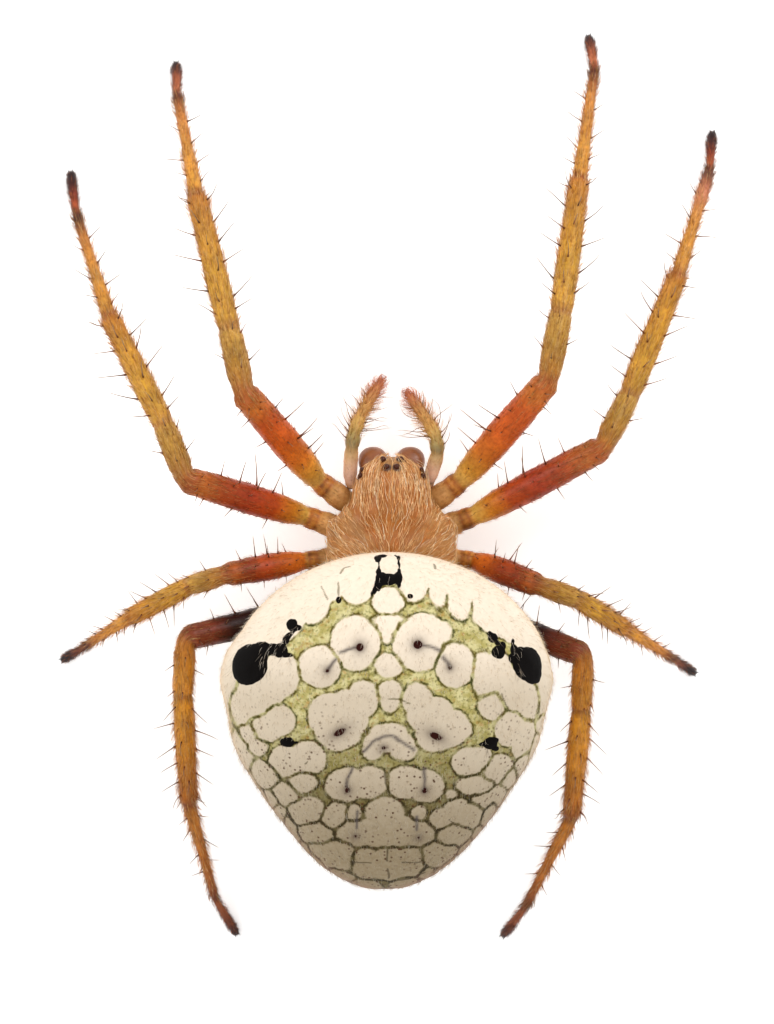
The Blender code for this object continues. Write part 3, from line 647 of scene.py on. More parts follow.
# each layer lies over the ones before it
for share, layer in ((line, line_colour),
                     (between(tree, painted(tree, "crease"), -0.02, 0.01, 0.0, 0.65), line_colour),
                     (between(tree, rim_value, -1.1, 0.2, 0.0, 0.75), flank),
                     (between(tree, rim_value, 0.9, 3.2, 0.0, 0.93), belly),
                     (speckled, tone(80, 52, 34)),
                     (sums(tree, "MULTIPLY", painted(tree, "streak"), 0.88), tone(84, 76, 74)),
                     # painted shade round the muscle pits
                     (sums(tree, "MULTIPLY", painted(tree, "halo"), 0.66), tone(84, 68, 60)),
                     (between(tree, painted(tree, "pit"), -0.01, 0.02), tone(48, 16, 10)),
                     (between(tree, painted(tree, "black"), -0.012, 0.012), ink)):
    colour = mixed(tree, share, colour, layer)
feed(tree, shader.inputs["Base Color"], colour)
feed(tree, shader.inputs["Roughness"], between(tree, painted(tree, "black"), -0.012, 0.012, 0.45, 0.62))
roughen(tree, shader, grain(tree, 0.05, 3.0), 0.012, 0.5)
skin("abdomen_skin", abdomen_grid, finish, ["abdomen"], "abdomen_skin", tip_points,
     plate=plate, black=black, pit=pit, halo=halo, streak=streak, crease=crease,
     beyond_rim=np.clip(beyond_rim, -3, 4), rearward=rearward)

# ---- The abdomen's hairs -------------------------------------------------------------------
# Short fine hairs lie towards the rear all over the abdomen but for its black patches, too thin to
# hide the plates.  A few longer ones lie across the small black patches.
PATCH = 0.003                   # width of one hair's patch on the unwrap
ROOT_DEPTH = 0.006              # how deep in the skin a hair starts
TAPER = 0.72                    # how much of a hair's width is lost towards its tip
OFF_AXIS = (0.31, 0.21, 0.93)   # a direction that hardly any hair follows


def scattered(grid, weight, count, rng):
    """Random spots over a grid, as fractional rows and columns, dense where the weight is high."""
    side = (np.roll(grid, -1, axis=1) - grid)[:-1]
    area = np.linalg.norm(np.cross(grid[1:] - grid[:-1], side), axis=-1) * weight[:-1]
    row, column = np.divmod(rng.choice(area.size, count, p=area.ravel() / area.sum()), grid.shape[1])
    return row + rng.random(count), column + rng.random(count)


def sampled(values, row, column):
    """A grid's values at fractional rows and columns; the columns go round."""
    row = np.clip(row, 0, len(values) - 1.001)
    low, left = np.floor(row).astype(int), np.floor(column).astype(int)
    down, aside = row - low, column - left
    high, left, right = low + 1, left % values.shape[1], (left + 1) % values.shape[1]
    if values.ndim == 3:
        down, aside = down[:, None], aside[:, None]
    first = values[low, left] * (1 - aside) + values[low, right] * aside
    return first * (1 - down) + (values[high, left] * (1 - aside) + values[high, right] * aside) * down


def laid(grid, flow, row, column, length, lift, droop, veer, segments, wave=0.0):
    """Paths of hairs that leave the skin at a slant and follow it along a field of directions.

    The height over the skin grows with the lift, in radians, and the droop bends the tip back.
    The veer turns each hair aside from the flow, more and more towards its tip, and the wave
    swings it to and fro.
    """
    out = grid_normals(grid)
    by_row = np.gradient(grid, axis=0)
    by_column = (np.roll(grid, -1, axis=1) - np.roll(grid, 1, axis=1)) / 2
    step = length * np.cos(lift) / segments
    paths = []
    for i in range(segments + 1):
        t = i / segments
        normal = unit(sampled(out, row, column))
        height = length * (np.sin(lift) * t - droop * t * t) - ROOT_DEPTH * (i == 0)
        paths.append(sampled(grid, row, column) + normal * height[:, None])
        ahead = sampled(flow, row, column)
        ahead = unit(ahead - normal * np.sum(ahead * normal, axis=1, keepdims=True))
        turn = (veer * (0.4 + 1.2 * t) + wave * np.sin(8 * t + 60 * veer))[:, None]
        ahead = ahead * np.cos(turn) + np.cross(normal, ahead) * np.sin(turn)
        along, beside = sampled(by_row, row, column), sampled(by_column, row, column)
        a, b, c = (np.sum(p * q, axis=1) for p, q in ((along, along), (along, beside), (beside, beside)))
        p, q = np.sum(ahead * along, axis=1) * step, np.sum(ahead * beside, axis=1) * step
        spread = np.maximum(a * c - b * b, 1e-9)
        row = np.clip(row + (p * c - q * b) / spread, 0, len(grid) - 1.01)
        column = column + (q * a - p * b) / spread
    return np.stack(paths, axis=1)


def hairs(name, paths, radius, unwrap, pigment, finish, shape=None, sides=3, fade=None):
    """One mesh of tapering hairs, each a closed spike round its path, with its patch on the unwrap."""
    count, spots, _ = paths.shape
    segments = spots - 1
    taper = 1 - TAPER * np.arange(segments) / segments if shape is None else np.array(shape)
    ahead = unit(np.gradient(paths, axis=1))
    aside = unit(np.cross(ahead[:, segments // 2], OFF_AXIS))[:, None]
    aside = unit(aside - ahead * np.sum(aside * ahead, axis=-1, keepdims=True))
    above = np.cross(ahead, aside)
    turn = 2 * math.pi * np.arange(sides) / sides
    thick = (np.broadcast_to(radius, (count,))[:, None] * taper)[:, :, None, None]
    ring = np.cos(turn)[:, None] * aside[:, :-1, None] + np.sin(turn)[:, None] * above[:, :-1, None]
    points = (paths[:, :-1, None] + thick * ring).reshape(count, segments * sides, 3)
    points = np.concatenate((points, paths[:, -1:]), axis=1)

    tip = segments * sides
    faces, flat = [], []
    for i in range(segments - 1):
        for k in range(sides):
            after = (k + 1) % sides
            faces.append((i * sides + k, i * sides + after, (i + 1) * sides + after, (i + 1) * sides + k))
            flat += [(k, i), (k + 1, i), (k + 1, i + 1), (k, i + 1)]
    for k in range(sides):
        faces.append(((segments - 1) * sides + k, (segments - 1) * sides + (k + 1) % sides, tip))
        flat += [(k, segments - 1), (k + 1, segments - 1), (k + 0.5, segments)]
    faces.append(tuple(range(sides))[::-1])
    flat += [(sides * (0.5 + 0.5 * math.cos(a)), -0.25 + 0.25 * math.sin(a)) for a in turn[::-1]]
    sizes = np.array([len(face) for face in faces])
    corners = np.concatenate(faces)
    flat = (np.array(flat) + (0, 0.5)) / (sides, segments + 0.5) - 0.5
    corners = (corners[None] + (tip + 1) * np.arange(count)[:, None]).ravel()
    places = np.clip(np.stack(unwrap, axis=-1), PATCH, 1 - PATCH)
    unwrap = places[:, None] + PATCH * flat[None]
    shades = np.repeat(pigment[:, None], tip + 1, axis=1)
    if fade is not None:
        toward_tip = np.append(np.repeat(np.arange(segments) / segments, sides), 1.0)[:, None]
        shades = shades * (1 - toward_tip) + fade * toward_tip
    piece = mesh_from(name, points.reshape(-1, 3), corners, np.tile(sizes, count), unwrap, finish,
                      {"pigment": shades.reshape(-1, 3)})


def hair_finish(name, roughness=0.45, gloss=0.3, glow=0.0):
    """Hair: its painted pigment with a slight change of tone; the glow is painted light, an emission that
    stands for light let through the thin hairs.
    """
    finish, tree, shader = start_finish(name, roughness, gloss)
    pigment = painted(tree, "pigment", "Color")
    darker = mixed(tree, 1.0, pigment, tone(214, 200, 186), "MULTIPLY")
    colour = mixed(tree, between(tree, grain(tree, 0.15), 0.3, 0.7), pigment, darker)
    feed(tree, shader.inputs["Base Color"], colour)
    if glow:
        feed(tree, shader.inputs["Emission Color"], colour)
        shader.inputs["Emission Strength"].default_value = glow
    return finish


def chosen(rng, count, *choices):
    """For each hair one of some colours, each given after its share, varied a little in strength."""
    shares = np.array([share for share, *_ in choices], float)
    colours = np.array([tone(*colour) for _, *colour in choices])
    pick = rng.choice(len(choices), count, p=shares / shares.sum())
    return colours[pick] * rng.uniform(0.82, 1.12, (count, 1))


def unwrapped(grid, row, column):
    """Where spots on a grid lie on its unwrap."""
    return (column / grid.shape[1]) % 1.0, (row + 1) / (len(grid) + 1)


rng = np.random.default_rng(101)
abdomen_flow = np.gradient(abdomen_grid, axis=0)
soft_hair = hair_finish("abdomen_hair")
count = 12000
density = (black < 0.0) * (1.0 + 0.4 * soft_step(beyond_rim, 0.5, 2))
row, column = scattered(abdomen_grid, density, count, rng)
low = soft_step(sampled(beyond_rim, row, column), -0.4, 1.6)
aft = sampled(rearward, row, column)
length = rng.uniform(0.14, 0.26, count) * (1 + 0.6 * low)
paths = laid(abdomen_grid, abdomen_flow, row, column, length, np.radians(rng.uniform(15, 54, count)),
             0.12, rng.normal(0, 0.25, count), 2)
pigment = chosen(rng, count, (0.7, 255, 248, 232), (0.3, 238, 222, 190))
# the hairs darken towards the belly and towards the rear; towards the rear this is partly their own tone and
# partly painted shade
pigment = pigment * (1 - 0.45 * np.maximum(low, aft)[:, None] * (1, 1.05, 1.2))
hairs("abdomen_short_hairs", paths, 0.0045, unwrapped(abdomen_grid, row, column), pigment,
      soft_hair)

# on the black marks the hairs keep to the beads and the necks between the large lobes
beads = (np.abs(abdomen_grid[..., 0]) < 4.15) * soft_step(black, -0.06, 0.02)
count = 90
row, column = scattered(abdomen_grid, beads * soft_step(-beyond_rim, 0.2, 0.3) + 1e-9, count, rng)
length = rng.uniform(0.20, 0.40, count)
paths = laid(abdomen_grid, abdomen_flow, row, column, length, np.radians(rng.uniform(12, 24, count)),
             0.20, rng.normal(0, 0.6, count), 4)
hairs("black_patch_hairs", paths, 0.0065, unwrapped(abdomen_grid, row, column),
      chosen(rng, count, (1, 226, 216, 200), (0.6, 150, 138, 122)), soft_hair)

# ---- The spinnerets ------------------------------------------------------------------------
# Six blunt fingers round a low cone of brown skin under the abdomen's rear spin the silk.  A
# front pair and a rear pair hide the small middle pair.
SPINNERETS_AT = 10.15
SPINNERET_LEAN = np.array((0, 0.45, -0.9)) / math.hypot(0.45, 0.9)
# distance from the midline, place along the body from the cone's middle, radius, length
SPINNERET_FINGERS = ((0.24, -0.20, 0.19, 0.78), (0.24, 0.20, 0.17, 0.70), (0.08, 0.0, 0.09, 0.60))
FINGER_ROOT = 0.30              # how deep the fingers start inside the cone
SIDES = (("left", 1), ("right", -1))


def flowing(stations, count):
    """A smooth run of many stations through a few."""
    keys = np.array(stations, float)
    ends = (2 * keys[:1] - keys[1:2], keys, 2 * keys[-1:] - keys[-2:-1])
    keys = np.concatenate(ends)
    place = np.linspace(0, len(keys) - 3, count)
    start = np.minimum(place.astype(int), len(keys) - 4)
    t = (place - start)[:, None]
    a, b, c, d = (keys[start + i] for i in range(4))
    return b + 0.5 * t * (c - a + t * (2 * a - 5 * b + 4 * c - d + t * (3 * (b - c) + d - a)))


def turns(count):
    """Even angles once round."""
    return np.linspace(0, 2 * math.pi, count, endpoint=False)


def sweep(centres, radii, columns, upright=(0, 0, 1)):
    """Rings of points square to a path; the first point of each is its top, then it turns to the side."""
    ahead = unit(np.gradient(centres, axis=0))
    beside = unit(np.cross(ahead, upright))
    above = np.cross(beside, ahead)
    turn = turns(columns)[None, :, None]
    ring = np.cos(turn) * above[:, None] + np.sin(turn) * beside[:, None]
    return centres[:, None] + np.broadcast_to(radii, (columns, len(centres))).T[..., None] * ring


def shell_finish(name, roughness, gloss=0.5, wear=0.3, size=0.10):
    """Horny skin or shell: its painted pigment with darker mottling and a fine leathery surface."""
    finish, tree, shader = start_finish(name, roughness, gloss)
    pigment = painted(tree, "pigment", "Color")
    mottling = between(tree, grain(tree, size, 4.0), 0.35, 0.75, 0.0, wear)
    colour = mixed(tree, mottling, pigment, mixed(tree, 1.0, pigment, tone(196, 160, 128), "MULTIPLY"))
    light = between(tree, grain(tree, 6 * size, 2.0), 0.45, 0.75, 0.0, wear)
    lighter = mixed(tree, 0.45, colour, colour, "ADD")
    feed(tree, shader.inputs["Base Color"], mixed(tree, light, colour, lighter))
    feed(tree, shader.inputs["Roughness"], between(tree, mottling, 0.0, wear, roughness, roughness + 0.12))
    roughen(tree, shader, grain(tree, 0.035, 3.0), 0.006, 0.6)
    return finish


def plain_pigment(grid, colour, mottle=0.12, seed=11, size=0.25):
    """One pigment over a whole grid, a little lighter and darker from place to place."""
    change = 1 + mottle * ripple(grid, size, seed)
    return change[..., None] * np.asarray(colour)


def belly_height(along):
    """Height of the belly's midline at a place along the body."""
    _, middle, _, drop = abdomen_section(along - ABDOMEN_FRONT)
    return middle - drop


spinneret_finish = shell_finish("spinneret_skin", 0.5, wear=0.5, size=0.06)
across = np.array((1.0, 0, 0))
lengthwise = np.cross(SPINNERET_LEAN, across)
cone_start = np.array((0, SPINNERETS_AT, belly_height(SPINNERETS_AT) + 0.12))
cone = flowing(((-0.1, 0.60), (0.10, 0.60), (0.24, 0.56), (0.40, 0.44), (0.50, 0.22)), 30)
centres = cone_start + cone[:, :1] * SPINNERET_LEAN
spinneret_cone = sweep(centres, cone[:, 1], 48, upright=lengthwise)
ring_folds = 0.012 * np.sin(cone[:, 0] * 60)
spinneret_cone += ring_folds[:, None, None] * grid_normals(spinneret_cone)
skin("spinneret_cone", spinneret_cone, spinneret_finish, ["spinnerets"], "spinneret_skin",
     pigment=plain_pigment(spinneret_cone, tone(104, 74, 48), 0.2))
for side, sign in SIDES:
    for (aside, behind, radius, length), pair in zip(SPINNERET_FINGERS, ("front", "rear", "middle")):
        foot = cone_start + (sign * aside, behind, 0) + FINGER_ROOT * SPINNERET_LEAN
        # the big fingers spread to the sides, and the front and rear pairs lean towards each other
        tilt = unit(SPINNERET_LEAN + 0.15 * sign * (aside > 0.1) * across - 0.5 * behind * lengthwise)
        shape = flowing(((0, 1.0), (0.35, 1.06), (0.62, 0.92), (0.66, 0.78), (0.85, 0.66), (1.0, 0.25)), 24)
        reach = shape[:, :1] * (length - FINGER_ROOT)
        grid = sweep(foot + reach * tilt, shape[:, 1] * radius, 24, upright=lengthwise)
        shade = np.where(shape[:, 0] > 0.62, 1.5, 1.0)[:, None, None]
        skin(f"spinneret_{pair}_{side}", grid, spinneret_finish, ["spinnerets"], "spinneret_skin",
             pigment=plain_pigment(grid, tone(88, 60, 40), 0.2) * shade)

# ---- The epigyne ---------------------------------------------------------------------------
# A wrinkled tongue of dark horny shell on the front of the female's belly points to the rear.
# It is hard, glossy and joined to the soft skin all round.
EPIGYNE_AT = 4.75
# distance behind the root, half-width, thickness
tongue = flowing(((0.0, 0.40, 0.28), (0.3, 0.38, 0.32), (0.7, 0.22, 0.28), (1.05, 0.11, 0.17)), 60)
along_tongue, half_width, thickness = EPIGYNE_AT + tongue[:, [0]], tongue[:, [1]], tongue[:, [2]]
wrinkles = 1 + 0.05 * np.sin(tongue[:, [0]] * 42)
x = wrinkles * half_width * np.cos(turns(32))
z = belly_height(along_tongue) - 0.04 - thickness / 2 + wrinkles * thickness / 2 * np.sin(turns(32))
grid = np.stack((x, along_tongue + 0 * x, z), axis=-1)
skin("epigyne_tongue", grid, shell_finish("epigyne_shell", 0.32, wear=0.5, size=0.05), ["epigyne"],
     "epigyne_shell", pigment=plain_pigment(grid, tone(84, 46, 28), 0.25))

# ---- The pedicel ---------------------------------------------------------------------------
# A thin waist of soft folded brown skin joins the two body halves.  It hides under the
# overhanging front of the abdomen.
# place along Y, height, radius
PEDICEL = ((3.30, 2.05, 0.24), (3.62, 2.10, 0.28), (3.95, 2.22, 0.28), (4.30, 2.36, 0.26),
           (4.58, 2.46, 0.23))
waist = flowing([(0, y, z, radius) for y, z, radius in PEDICEL], 60)
folds = 1 + 0.03 * np.sin(waist[:, 1] * 40)
grid = sweep(waist[:, :3], waist[:, 3] * folds, 36)
skin("pedicel_waist", grid, shell_finish("pedicel_skin", 0.5, wear=0.4, size=0.06), ["pedicel"],
     "pedicel_skin", pigment=plain_pigment(grid, tone(120, 84, 54), 0.2))

# ---- The carapace --------------------------------------------------------------------------
# The hard shield over the front body is one orange-brown shell.  The head part is arched and
# parted from the wider thorax by two slanting grooves, which meet in a pit on the midline.
HEAD_SHIFT = -0.07              # the head sits a hair's breadth to the right of the abdomen's midline
HEAD_FRONT = -1.15
HEAD_CROWN = 0.20
THORAX_WIDEST = 1.87
CARAPACE_REAR = 4.05
CARAPACE_FLOOR = 2.43
CARAPACE_RIM = 2.62
# half-width of the head at places along Y
HEAD_WIDTHS = (
    (-1.15, 0.30), (-1.08, 0.44), (-0.97, 0.68), (-0.86, 0.92), (-0.74, 1.05), (-0.50, 1.11),
    (-0.30, 1.17), (-0.10, 1.26), (0.20, 1.31), (0.60, 1.34), (1.60, 1.36),
)
NECK = 0.15
SHOULDER = 1.30
THORAX_HALF_WIDTH = 2.12
CARAPACE_RISE = 1.22
CARAPACE_COAT = 0.03            # depth of the coat, by which the shield is drawn in
CARAPACE_DEPTH = 1.3
CARAPACE_ROWS = 190
ARCH_COLUMNS = 170
GROOVE_DEPTH, FURROW_DEPTH, FOVEA_DEPTH, EYE_MOUND = 0.022, 0.018, 0.08, 0.055
# eyes on one side: name, distance from the midline, place along Y, radius
EYES = (("front_middle", 0.29, -1.03, 0.090), ("rear_middle", 0.17, -0.79, 0.092),
        ("front_side", 1.00, -0.69, 0.075), ("rear_side", 1.05, -0.50, 0.075))
FOVEA_AT = 2.20
HEAD_GROOVE = ((1.36, 0.42), (0.95, 1.10), (0.42, 1.80))
SIDE_GROOVES = (((0.45, 1.95), (1.75, 1.30)), ((0.40, 2.15), (1.90, 2.10)), ((0.35, 2.40), (1.65, 3.00)),
                ((0.20, 2.60), (1.00, 3.60)))
HEAD_TONE = tone(177, 108, 41)
THORAX_TONE = tone(178, 121, 57)

smooth_y = np.linspace(HEAD_WIDTHS[0][0], HEAD_WIDTHS[-1][0], 400)
smooth_width = np.interp(smooth_y, *np.transpose(HEAD_WIDTHS))
soften = np.hanning(31) / np.hanning(31).sum()
smooth_width = np.convolve(np.pad(smooth_width, 15, mode="reflect", reflect_type="odd"), soften, "valid")


def carapace_half_width(along):
    """Half-width of the shield at places along the body."""
    rear = np.clip((along - THORAX_WIDEST) / (CARAPACE_REAR - THORAX_WIDEST), 0, 1)
    thorax = THORAX_HALF_WIDTH * np.sqrt(1 - 0.93 * rear ** 2.4)
    shoulder = soft_step(along, NECK, SHOULDER)
    head = np.interp(along, smooth_y, smooth_width)
    return np.where(along > THORAX_WIDEST, thorax, head + (THORAX_HALF_WIDTH - head) * shoulder)


def carapace_rise(along):
    """Height of the shield's midline over its rim at places along the body."""
    front = np.clip((HEAD_CROWN - along) / (HEAD_CROWN - HEAD_FRONT), 0, 1)
    rear = np.clip((along - HEAD_CROWN) / (CARAPACE_REAR - HEAD_CROWN), 0, 1)
    dip = 0.12 * np.exp(-((along - 1.25) / 0.45) ** 2)
    head = CARAPACE_RISE * np.sqrt(np.maximum(0.02, 1 - 0.97 * front ** 2.6))
    return np.where(along < HEAD_CROWN, head, CARAPACE_RISE * np.sqrt(1 - 0.95 * rear ** 2.5) - dip)


def carapace_top(x, along):
    """Height of the shield's upper face."""
    share = np.clip(np.abs(x) / carapace_half_width(along), 0, 1)
    return CARAPACE_RIM + carapace_rise(along) * np.sqrt(1 - share ** 2.2)


def tinted(pigment, share, colour):
    """A pigment with a share of another colour laid over it."""
    return pigment * (1 - share) + colour * share


share = (1 - np.cos(np.linspace(0, math.pi, CARAPACE_ROWS))) / 2
rows = HEAD_FRONT + share * (CARAPACE_REAR - HEAD_FRONT)
half = carapace_half_width(rows)[:, None]
arch = np.linspace(0, math.pi, ARCH_COLUMNS)[None, :]
top_x = half * np.cos(arch)
top_z = carapace_top(top_x, rows[:, None])
tuck = np.linspace(0, math.pi / 2, 8)[1:][None, :]
lip_x = -half * (0.82 + 0.18 * np.cos(tuck))
lip_z = np.broadcast_to(CARAPACE_RIM - (CARAPACE_RIM - CARAPACE_FLOOR) * np.sin(tuck), lip_x.shape)
flat_x = np.linspace(-0.78, 0.78, 24)[None, :] * half
flat_z = np.full(flat_x.shape, CARAPACE_FLOOR)
carapace_x = np.concatenate((top_x, lip_x, flat_x, -lip_x[:, ::-1]), axis=1)
carapace_z = np.concatenate((top_z, lip_z, flat_z, lip_z[:, ::-1]), axis=1)
carapace_y = np.broadcast_to(rows[:, None], carapace_x.shape)
carapace_grid = np.stack((carapace_x, carapace_y, carapace_z), axis=-1)
carapace_middle = np.array((0, (HEAD_FRONT + CARAPACE_REAR) / 2, CARAPACE_RIM))
carapace_grid = carapace_middle + (carapace_grid - carapace_middle) * (1 - CARAPACE_COAT / CARAPACE_DEPTH)
on_top = carapace_z > CARAPACE_RIM + 0.02
aside = np.abs(carapace_x)
groove = np.exp(-(line_distance(aside, carapace_y, HEAD_GROOVE) / 0.10) ** 2)
furrow = np.zeros_like(groove)
for line in SIDE_GROOVES:
    furrow = np.maximum(furrow, np.exp(-(line_distance(aside, carapace_y, line) / 0.09) ** 2))
fovea = np.exp(-(np.hypot(aside / 0.8, (carapace_y - FOVEA_AT) / 2.2) / 0.13) ** 2)
eye_mound, eye_ring = np.zeros_like(groove), np.zeros_like(groove)
for _, x, y, radius in EYES:
    spot = np.array((x, y, float(carapace_top(x, y))))
    reach = np.linalg.norm(np.stack((aside, carapace_y, carapace_z), axis=-1) - spot, axis=-1)
    eye_mound = np.maximum(eye_mound, np.exp(-(reach / (1.9 * radius)) ** 2))
    eye_ring = np.maximum(eye_ring, 1 - soft_step(reach, 1.30 * radius, 2.3 * radius))
relief = EYE_MOUND * eye_mound - GROOVE_DEPTH * groove - FURROW_DEPTH * furrow - FOVEA_DEPTH * fovea
relief += 0.012 * ripple(carapace_grid * (1, 0.4, 1), 0.16, 21) + 0.02 * ripple(carapace_grid, 0.6, 22)
carapace_grid = carapace_grid + (relief * on_top)[..., None] * grid_normals(carapace_grid)
carapace_grid = carapace_grid + (HEAD_SHIFT, 0, 0)

head_share = 1 - soft_step(aside + 0.75 * (carapace_y - 0.42), 1.25, 1.55)
pigment = tinted(THORAX_TONE, head_share[..., None], HEAD_TONE)
pigment = pigment * (1 + 0.16 * ripple(carapace_grid * (1, 0.35, 1), 0.22, 23))[..., None]
dark = np.clip(0.30 * groove + 0.20 * furrow + 0.5 * fovea, 0, 1)
olive = np.exp(-np.hypot(aside / 0.42, (carapace_y + 0.95) / 0.34) ** 2)
for share, colour in ((dark, tone(166, 88, 40)), (0.75 * olive, tone(150, 108, 44)),
                      (0.9 * eye_ring, tone(52, 26, 18))):
    pigment = tinted(pigment, share[..., None], colour)
carapace_shell = shell_finish("carapace_shell", 0.42, wear=0.35, size=0.12)
skin("carapace_shield", carapace_grid, carapace_shell, ["carapace"], "carapace_shell", pigment=pigment)

# ---- The carapace's hairs ------------------------------------------------------------------
# Long pale golden hairs lie on the head and run lengthwise to the eyes, a little wavy.  On the
# thorax they fan out forwards and sideways from its middle pit.
rng = np.random.default_rng(110)
# the head's hairs glow a little: painted light
head_hair = hair_finish("carapace_hair", 0.5, 0.2, glow=0.28)
x, y = carapace_grid[..., 0], carapace_grid[..., 1]
forward = np.stack((-0.16 * x * soft_step(-y, -0.4, 1.0), -np.ones_like(x), 0 * x), axis=-1)
outward = np.stack((1.0 * x, -0.9 - 0.45 * (FOVEA_AT - y), 0 * x), axis=-1)
thorax_share = np.maximum(1 - head_share, soft_step(y, 0.55, 1.15))[..., None]
carapace_flow = forward * (1 - thorax_share) + unit(outward) * thorax_share
high = soft_step(carapace_grid[..., 2], CARAPACE_RIM + 0.05, CARAPACE_RIM + 0.5)
clear_of_eyes = 1 - np.clip(1.6 * eye_mound, 0, 1)
density = high * (0.55 + 0.6 * head_share) * (1 - 0.8 * soft_step(-y, 0.70, 1.0)) * clear_of_eyes
count = 820
row, column = scattered(carapace_grid, density + 1e-9, count, rng)
on_head = 1 - sampled(thorax_share[..., 0], row, column)
length = rng.uniform(0.65, 1.45, count) * (0.60 + 0.40 * on_head)
root = sampled(carapace_grid, row, column)
for _, aside, behind, radius in EYES:
    near = np.abs(np.abs(root[:, 0] - HEAD_SHIFT) - aside) < radius + 0.06
    room = np.where(near & (root[:, 1] > behind), root[:, 1] - behind - 1.1 * radius, FAR)
    length = np.minimum(length, np.maximum(room, 0.10))
paths = laid(carapace_grid, carapace_flow, row, column, length, np.radians(rng.uniform(5, 11, count)),
             0.04, rng.normal(0, 0.20, count), 9, wave=rng.uniform(0.05, 0.38, count))
hairs("carapace_long_hairs", paths, 0.0105 * rng.uniform(0.7, 1.25, count),
      unwrapped(carapace_grid, row, column),
      chosen(rng, count, (3, 236, 198, 146), (2, 232, 178, 116), (1, 244, 228, 194),
             (1, 206, 130, 68)), head_hair)
count = 1300
density = soft_step(carapace_grid[..., 2], CARAPACE_RIM - 0.02, CARAPACE_RIM + 0.2)
density = density * (1.3 - head_share) * clear_of_eyes
row, column = scattered(carapace_grid, density + 1e-9, count, rng)
length = rng.uniform(0.20, 0.42, count)
paths = laid(carapace_grid, carapace_flow, row, column, length, np.radians(rng.uniform(10, 24, count)),
             0.10, rng.normal(0, 0.3, count), 3)
hairs("carapace_short_hairs", paths, 0.0055, unwrapped(carapace_grid, row, column),
      chosen(rng, count, (2, 238, 198, 140), (1, 214, 142, 76)), head_hair)

# ---- The eyes ------------------------------------------------------------------------------
# Eight simple eyes, each a glossy dome of clear lens over a dark brown ground.  The middle four
# look up and forward from a low mound, and the side pairs sit at the corners of the head.
lens_finish, tree, shader = start_finish("eye_lens", 0.12, gloss=0.25)
feed(tree, shader.inputs["Base Color"], mixed(tree, grain(tree, 0.06), tone(58, 26, 14), tone(84, 42, 22)))
latitude = np.linspace(0, math.pi, 34)[1:-1][:, None]
turn = turns(48)[None, :]
dome = np.stack((np.sin(latitude) * np.cos(turn), np.sin(latitude) * np.sin(turn),
                 np.cos(latitude) + 0 * turn), axis=-1)
for side, sign in SIDES:
    for name, *_ in EYES:
        low, high = (np.array(corner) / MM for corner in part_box(f"eye_{name}_{side}"))
        solid = (low + high) / 2
        # the lens stands out a little from the solid, and the side eyes lie closer to the head
        middle = solid + (HEAD_SHIFT, 0, 0) + 0.02 * unit(np.array((solid[0] / 2, solid[1] + 0.4, 1.0)))
        if name.endswith("side"):
            middle += (-0.035 * sign, 0, -0.03)
        radius = (high - low).max() / 2 * 1.08
        skin(f"lens_{name}_{side}", middle + dome * radius, lens_finish, [f"eye_{name}_{side}"], "eye_lens",
             (middle + (0, 0, radius), middle - (0, 0, radius)))

# ---- The chelicerae and fangs --------------------------------------------------------------
# Two stout red-brown jaws hang side by side under the front of the head.  Each is a smooth hard
# bulb, and a curved black fang folds inwards from its lower end.
# stations from the top down: x, y, z, half-width, half-depth
CHELICERA = (
    (0.52, -0.78, 2.42, 0.30, 0.28), (0.58, -0.87, 2.30, 0.42, 0.41), (0.60, -0.96, 2.05, 0.470, 0.455),
    (0.57, -0.96, 1.65, 0.445, 0.425), (0.50, -0.91, 1.28, 0.375, 0.345),
    (0.45, -0.86, 1.08, 0.27, 0.26), (0.43, -0.84, 1.00, 0.15, 0.15),
)
# x, y, z, radius
FANG = (
    (0.47, -0.84, 1.02, 0.11), (0.46, -0.76, 0.86, 0.12), (0.36, -0.66, 0.78, 0.10),
    (0.22, -0.58, 0.76, 0.06), (0.12, -0.54, 0.78, 0.02),
)


def upright_grid(stations, rows, columns, squareness=1.0):
    """Level oval rings, from stations of x, y, z, half-width and half-depth."""
    run = flowing(stations, rows)
    turn = turns(columns)[None, :]
    cos = np.sign(np.cos(turn)) * np.abs(np.cos(turn)) ** squareness
    sin = np.sign(np.sin(turn)) * np.abs(np.sin(turn)) ** squareness
    x = run[:, [0]] + run[:, [3]] * cos
    y = run[:, [1]] + run[:, [4]] * sin
    return np.stack((x, y, np.broadcast_to(run[:, [2]], x.shape)), axis=-1)


jaw_shell = shell_finish("chelicera_shell", 0.30, wear=0.4, size=0.14)
fang_shell, tree, shader = start_finish("fang_shell", 0.18)
feed(tree, shader.inputs["Base Color"], mixed(tree, grain(tree, 0.1), tone(30, 12, 8), tone(74, 30, 18)))
for side, sign in SIDES:
    grid = upright_grid(CHELICERA, 90, 72, 0.92) * (sign, 1, 1) + (HEAD_SHIFT, 0, 0)
    low = 1 - soft_step((grid[..., 2] - 1.0) / 1.4, 0.05, 0.6)
    pigment = plain_pigment(grid, tone(145, 87, 48), 0.14, 31, 0.3)
    skin(f"jaw_{side}", grid, jaw_shell, [f"chelicera_{side}"], "chelicera_shell",
         pigment=tinted(pigment, 0.6 * low[..., None], tone(84, 36, 24)))
    hook = flowing(FANG, 40) * (sign, 1, 1, 1)
    grid = sweep(hook[:, :3], hook[:, 3], 24, upright=(0, 1, 1))
    skin(f"hook_{side}", grid, fang_shell, [f"fang_{side}"], "fang_shell")

# ---- The mouthparts, the breastplate and the side wall -------------------------------------
# Behind the jaws lie a small lip and two maxillae with pale cushioned tips.  The heart-shaped
# breastplate is dark hard shell, and soft wrinkled skin joins it to the carapace all round.
PLATE_TOP = 2.44
